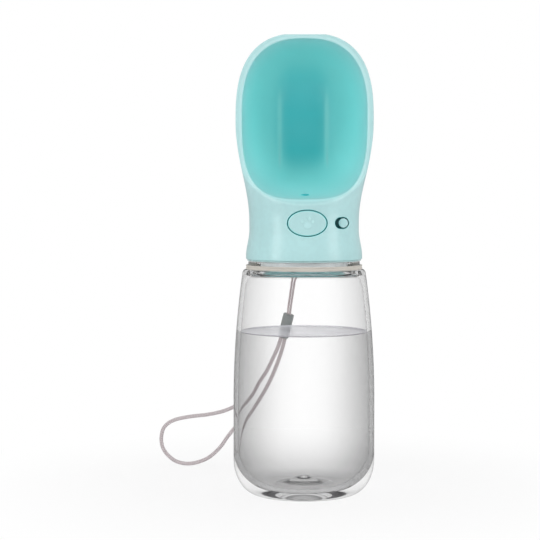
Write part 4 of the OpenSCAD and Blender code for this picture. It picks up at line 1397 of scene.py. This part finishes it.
    def build_lug(self, finish: bpy.types.Material) -> bpy.types.Object:
        """Builds the lug at the back: a plate with a round eye, drawn in round its outline and its eye by a
        quarter circle on each side."""
        x, thick, eye_y, eye_z, eye_r, lug_r, foot, edge = -4.5, 2.4, 31.4, 121.0, 1.5, 2.9, 26.9, 0.45
        a = full_turn(96)
        toward = np.clip(-np.cos(a), 0, 1) ** 0.7
        spread = np.where(np.sin(a) > 0, 2.6, -1.2) * np.abs(np.sin(a)) ** 0.4
        outer_y = (eye_y + lug_r * np.cos(a)) * (1 - toward) + foot * toward
        outer = np.stack([outer_y, eye_z + lug_r * np.sin(a) + spread * toward], 1)
        eye = np.stack([eye_y + eye_r * np.cos(a), eye_z + eye_r * np.sin(a)], 1)
        s = np.linspace(0, np.pi / 2, 6)
        turn = np.concatenate([np.sin(s), np.sin(s[::-1])])
        half = edge * (1 - np.cos(s)) - thick / 2
        across = np.concatenate([half, -half[::-1]])
        out = outer[None] + (eye - outer)[None] * (0.32 * (1 - turn))[:, None, None]
        inn = eye[None] + (outer - eye)[None] * (0.22 * (1 - turn[::-1]))[:, None, None]
        flat = np.concatenate([out, inn, out[:1]])
        depth = x + np.concatenate([across, across[::-1], across[:1]])
        grid = np.stack([np.broadcast_to(depth[:, None], flat.shape[:2]), flat[..., 0], flat[..., 1]], -1)
        lug = as_object("strap_eye", skin_of(grid).outward(), finish, 50)
        return placed(lug, Body.HEAD, Slot.MINT, "strap_lug")

    def build_spring(self, finish: bpy.types.Material) -> bpy.types.Object:
        """Builds the valve's spring: a helix of wire round the rod's axis, with closed end turns."""
        radius, wire, y0, y1, turns, closing = 2.9, 0.35, 2.5, 11.6, 7.5, 0.36
        t = np.linspace(0, 1, 330)
        rise = np.clip((t - 0.09) / 0.82, 0, 1)
        a = 2 * np.pi * turns * t
        y = y0 + (y1 - y0) * rise + closing * (np.minimum(1, (1 - t) * 11) - np.minimum(1, t * 11))
        line = np.stack([self.key_x + radius * np.cos(a), y, self.key_z + radius * np.sin(a)], 1)
        spring = as_object("valve_coil", tube(line, wire, 10), finish, 60)
        placed(spring, Body.HEAD, Slot.STEEL, "valve_spring")
        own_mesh(spring)
        return spring

    def build(self) -> None:
        """Builds and dresses every piece of the head."""
        # After the plain colour come two colours of painted shade for the trough and the openings, then the
        # pale colour: a painted highlight along the rim, also used for the key's paw.
        mint = MouldedPlastic(
            "mint_satin_plastic",
            (0.71, 0.875, 0.88),
            (0.56, 0.91, 0.905),
            (0.29, 0.82, 0.84),
            (0.74, 0.905, 0.91),
        ).material()
        # The cup's near-white colour brightens it where it sits in the shade under the head: painted light;
        # its deep colour is teal.
        teal = MouldedPlastic("cup_plastic", (0.93, 0.955, 0.96), (0.5, 0.73, 0.73), roughness=0.3).material()
        self.build_shell(mint)
        self.build_key(mint)
        self.build_lock(mint)
        self.build_cup(teal)
        self.build_lug(mint)
        self.build_spring(BrushedSteel("drawn_steel_wire").material())


@dataclass
class StrapSet:
    """Thin string through the lug, grey bead and woven wrist loop; the routes are in metres."""

    string_d: float = 0.0011
    loop_d: float = 0.002
    bead_d: float = 5.7
    bead_l: float = 12.6
    bead_top: tuple[float, float, float] = (-0.0071, 0.0364, 0.0857)
    bead_low: tuple[float, float, float] = (-0.0101, 0.0376, 0.0735)
    buried: float = 0.003
    string_way: list[tuple[float, float, float]] = field(
        default_factory=lambda: [
            (-0.0073, 0.0362, 0.09), (-0.0064, 0.0356, 0.096), (-0.0057, 0.0348, 0.102),
            (-0.0053, 0.0337, 0.108), (-0.006, 0.0326, 0.1135), (-0.0066, 0.0316, 0.118),
            (-0.0062, 0.0314, 0.1203), (-0.0045, 0.0314, 0.1212), (-0.0028, 0.0314, 0.1203),
            (-0.0024, 0.0316, 0.118), (-0.003, 0.0326, 0.1135), (-0.0037, 0.0337, 0.108),
            (-0.0043, 0.0348, 0.102), (-0.0051, 0.0356, 0.096), (-0.006, 0.0362, 0.09),
        ]
    )
    loop_way: list[tuple[float, float, float]] = field(
        default_factory=lambda: [
            (-0.013, 0.0385, 0.068), (-0.0155, 0.0395, 0.0625), (-0.019, 0.041, 0.0555),
            (-0.023, 0.0435, 0.0495), (-0.0265, 0.0465, 0.0435), (-0.031, 0.0505, 0.0385),
            (-0.036, 0.055, 0.035), (-0.042, 0.06, 0.032), (-0.05, 0.066, 0.0295),
            (-0.0575, 0.071, 0.028), (-0.064, 0.0745, 0.0265), (-0.0685, 0.0765, 0.025),
            (-0.072, 0.0775, 0.023), (-0.0745, 0.0785, 0.02), (-0.0755, 0.0785, 0.016),
            (-0.0755, 0.079, 0.0125), (-0.0745, 0.079, 0.009), (-0.072, 0.079, 0.0055),
            (-0.068, 0.0785, 0.0025), (-0.0635, 0.0785, 0.0012), (-0.0595, 0.078, 0.0012),
            (-0.055, 0.077, 0.0023), (-0.0505, 0.075, 0.0045), (-0.047, 0.072, 0.0075),
            (-0.043, 0.0685, 0.012), (-0.0395, 0.0645, 0.0175), (-0.036, 0.0605, 0.0225),
            (-0.032, 0.056, 0.028), (-0.027, 0.052, 0.034), (-0.022, 0.0475, 0.0415),
            (-0.0175, 0.044, 0.0495), (-0.014, 0.041, 0.0575),
            (-0.011, 0.039, 0.066),
        ]
    )

    def lines(self) -> tuple[np.ndarray, np.ndarray]:
        """The two routes in millimetres, with both ends of each inside the bead."""
        top, low = np.array(self.bead_top), np.array(self.bead_low)
        along = (top - low) / np.linalg.norm(top - low)
        s, w = np.array([0.00062, 0, 0]), np.array([0.0011, 0, 0])
        end_s, end_l = top - along * self.buried, low + along * self.buried
        string = [end_s - s, top - s, *self.string_way, top + s, end_s + s]
        loop = [end_l - w, low - w, *self.loop_way, low + w, end_l + w]
        return smooth_line(np.array(string) / MM, 12), smooth_line(np.array(loop) / MM, 14)

    def bead_skin(self) -> Skin:
        """Bead: a rounded barrel turned about its own line, with a shallow dimple round each end's hole."""
        r, length = self.bead_d / 2, self.bead_l
        top, low = np.array(self.bead_top) / MM, np.array(self.bead_low) / MM
        along = (top - low) / np.linalg.norm(top - low)
        half = [(0, 0.5), (1.3, 0.35), (1.7, 0.0), (r - 0.1, 0.0), (r, 1.0)]
        line = rounded([*half, (r, length / 2), *[(out, length - up) for out, up in half[::-1]]], 0.75)
        skin = turned(line, 96)
        u = np.cross(along, [0, 1, 0])
        u /= np.linalg.norm(u)
        v = np.cross(along, u)
        points = low + skin.points[:, :1] * u + skin.points[:, 1:2] * v + skin.points[:, 2:] * along
        return Skin(points, skin.faces, skin.uv, skin.tone).outward()

    def build(self) -> None:
        thread = WovenCord("twisted_thread", (0.86, 0.81, 0.81), (0.68, 0.62, 0.63), Lay.TWISTED, 0.0016)
        weave = WovenCord("ribbed_weave", (0.87, 0.83, 0.835), (0.66, 0.62, 0.63), Lay.RIBBED, 0.0011)
        grey = MouldedPlastic("grey_satin_plastic", (0.52, 0.535, 0.53), roughness=0.42, grain_depth=8e-6)
        string_line, loop_line = self.lines()
        string_skin, loop_skin = (
            tube(line, size / 2 / MM, sides)
            for line, size, sides in ((string_line, self.string_d, 14), (loop_line, self.loop_d, 20))
        )
        string = as_object("hanging_string", string_skin, thread.material(), 70)
        loop = as_object("wrist_loop", loop_skin, weave.material(), 70)
        bead = as_object("cord_bead", self.bead_skin(), grey.material())
        placed(string, Body.HEAD, Slot.CORD, "strap_string")
        placed(loop, Body.HEAD, Slot.CORD, "strap_loop")
        placed(bead, Body.HEAD, Slot.GREY, "strap_bead")


@dataclass
class HiddenParts:
    """Finishes of the model's own nodes that stay as they are, inside the head."""

    white: tuple[str, ...] = ("key_guide", "valve_housing", "housing_cap", "plunger_rod", "lock_guide")
    teal: tuple[str, ...] = ("rod_bush",)
    silicone: tuple[str, ...] = ("mouth_seal", "inlet_seal", "outlet_seal", "bush_seal", "valve_seal")
    steel: tuple[str, ...] = ("housing_screws", "spring_plate", "rod_clip")

    def dress(self) -> None:
        """Gives each node its finish."""
        finishes = (
            (self.white, MouldedPlastic("white_satin_plastic", (0.88, 0.89, 0.89), roughness=0.4).material()),
            (self.teal, MouldedPlastic("teal_bush_plastic", (0.42, 0.7, 0.71), roughness=0.35).material()),
            (self.silicone, SoftSilicone("pale_silicone", (0.85, 0.85, 0.83)).material()),
            (self.steel, BrushedSteel("brushed_steel").material()),
        )
        for names, material in finishes:
            for name in names:
                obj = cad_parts[name]
                obj.data.materials.clear()
                obj.data.materials.append(material)
                log.info("%s takes %s", name, material.name)


@dataclass
class Studio:
    """Camera at the photograph's angle, soft lamps, a pale floor and a white surround."""

    camera_at: tuple[float, float, float] = (-0.0167, -0.8, 0.15)
    tilt_deg: float = 2.861
    lens: float = 108.8
    floor_size: float = 6.0
    aim: tuple[float, float, float] = (0, 0, 0.12)

    def build_camera(self) -> None:
        """Makes the camera, looking along +Y and slightly down."""
        data = bpy.data.cameras.new("camera")
        data.lens, data.sensor_width, data.clip_start, data.clip_end = self.lens, 36.0, 0.01, 50.0
        camera = bpy.data.objects.new("camera", data)
        camera.location = self.camera_at
        camera.rotation_euler = (math.radians(90 - self.tilt_deg), 0, 0)
        bpy.context.scene.collection.objects.link(camera)
        bpy.context.scene.camera = camera

    def lamp(self, name: str, at: Sequence[float], size: Sequence[float], power: float) -> bpy.types.Object:
        """Adds a soft rectangular lamp that faces the middle of the object.

        Args:
            name: Name of the lamp.
            at: Where it stands, in metres.
            size: Width and height in metres.
            power: Watts.

        Returns:
            The lamp.
        """
        data = bpy.data.lights.new(name, "AREA")
        data.shape, data.size, data.size_y, data.energy = "RECTANGLE", size[0], size[1], power
        obj = bpy.data.objects.new(name, data)
        obj.location = at
        obj.rotation_euler = (Vector(self.aim) - Vector(at)).to_track_quat("-Z", "Y").to_euler()
        bpy.context.scene.collection.objects.link(obj)
        return obj

    def build_floor(self) -> None:
        """Makes the pale floor, which is nearly white to the eye, and wholly so away from the object."""
        material, n = new_material("pale_floor")
        x, y, _ = n.axes()
        away = ((x * x + (y - 0.02) * (y - 0.02)) ** 0.5).step(0.05, 0.2)
        grain = n.noise(300, 3)
        matt = n.principled(
            {
                "Base Color": n.mixed(grain, rgba((0.955, 0.955, 0.958)), rgba((0.985, 0.985, 0.988))),
                "Roughness": 0.6,
                "Normal": n.bump(grain, 2e-5, 0.3),
            }
        )
        white = n.add("ShaderNodeEmission", {}, {"Color": (1, 1, 1, 1), "Strength": 1.0})
        n.end(n.blend((away * 0.2 + 0.8) * n.ray("Camera", "Transmission"), matt, white))
        s = self.floor_size
        mesh = bpy.data.meshes.new("floor")
        mesh.from_pydata([(-s, -s, 0), (s, -s, 0), (s, s, 0), (-s, s, 0)], [], [(0, 1, 2, 3)])
        mesh.materials.append(material)
        floor = bpy.data.objects.new("floor", mesh)
        bpy.context.scene.collection.objects.link(floor)

    def build_world(self) -> None:
        """Makes the surround, white to the eye and through glass and brighter in gloss than as light."""
        world = bpy.data.worlds.new("surround")
        bpy.context.scene.world = world
        world.use_nodes = True
        n = Nodes(world.node_tree)
        seen = n.ray("Camera", "Transmission").most(n.ray("Glossy") * 0.2)
        sky = n.add("ShaderNodeBackground", {}, {"Color": (1, 1, 1, 1), "Strength": seen * 0.58 + 0.42})
        n.add("ShaderNodeOutputWorld", {}, {"Surface": sky})

    def build(self) -> None:
        """Builds the whole stage."""
        scene = bpy.context.scene
        scene.view_settings.view_transform = "Standard"
        self.build_camera()
        self.build_world()
        self.build_floor()
        self.lamp("strip_left", (-0.78, -0.5, 0.34), (0.32, 1.3), 4.1)
        self.lamp("strip_right", (0.82, -0.46, 0.34), (0.34, 1.3), 4.1)
        self.lamp("overhead", (0.0, -0.1, 1.1), (0.9, 0.9), 2.6)
        self.lamp("front_fill", (0.1, -1.4, 0.7), (1.2, 0.8), 2.2).visible_glossy = False


def main() -> None:
    """Builds the stage, the strap, the bottle, the head and the finishes of the hidden parts."""
    logging.basicConfig(level=logging.INFO, format="%(name)s: %(message)s")
    Studio().build()
    StrapSet().build()
    BottleSet().build()
    HeadSet().build()
    HiddenParts().dress()


if __name__ == "__main__":
    main()
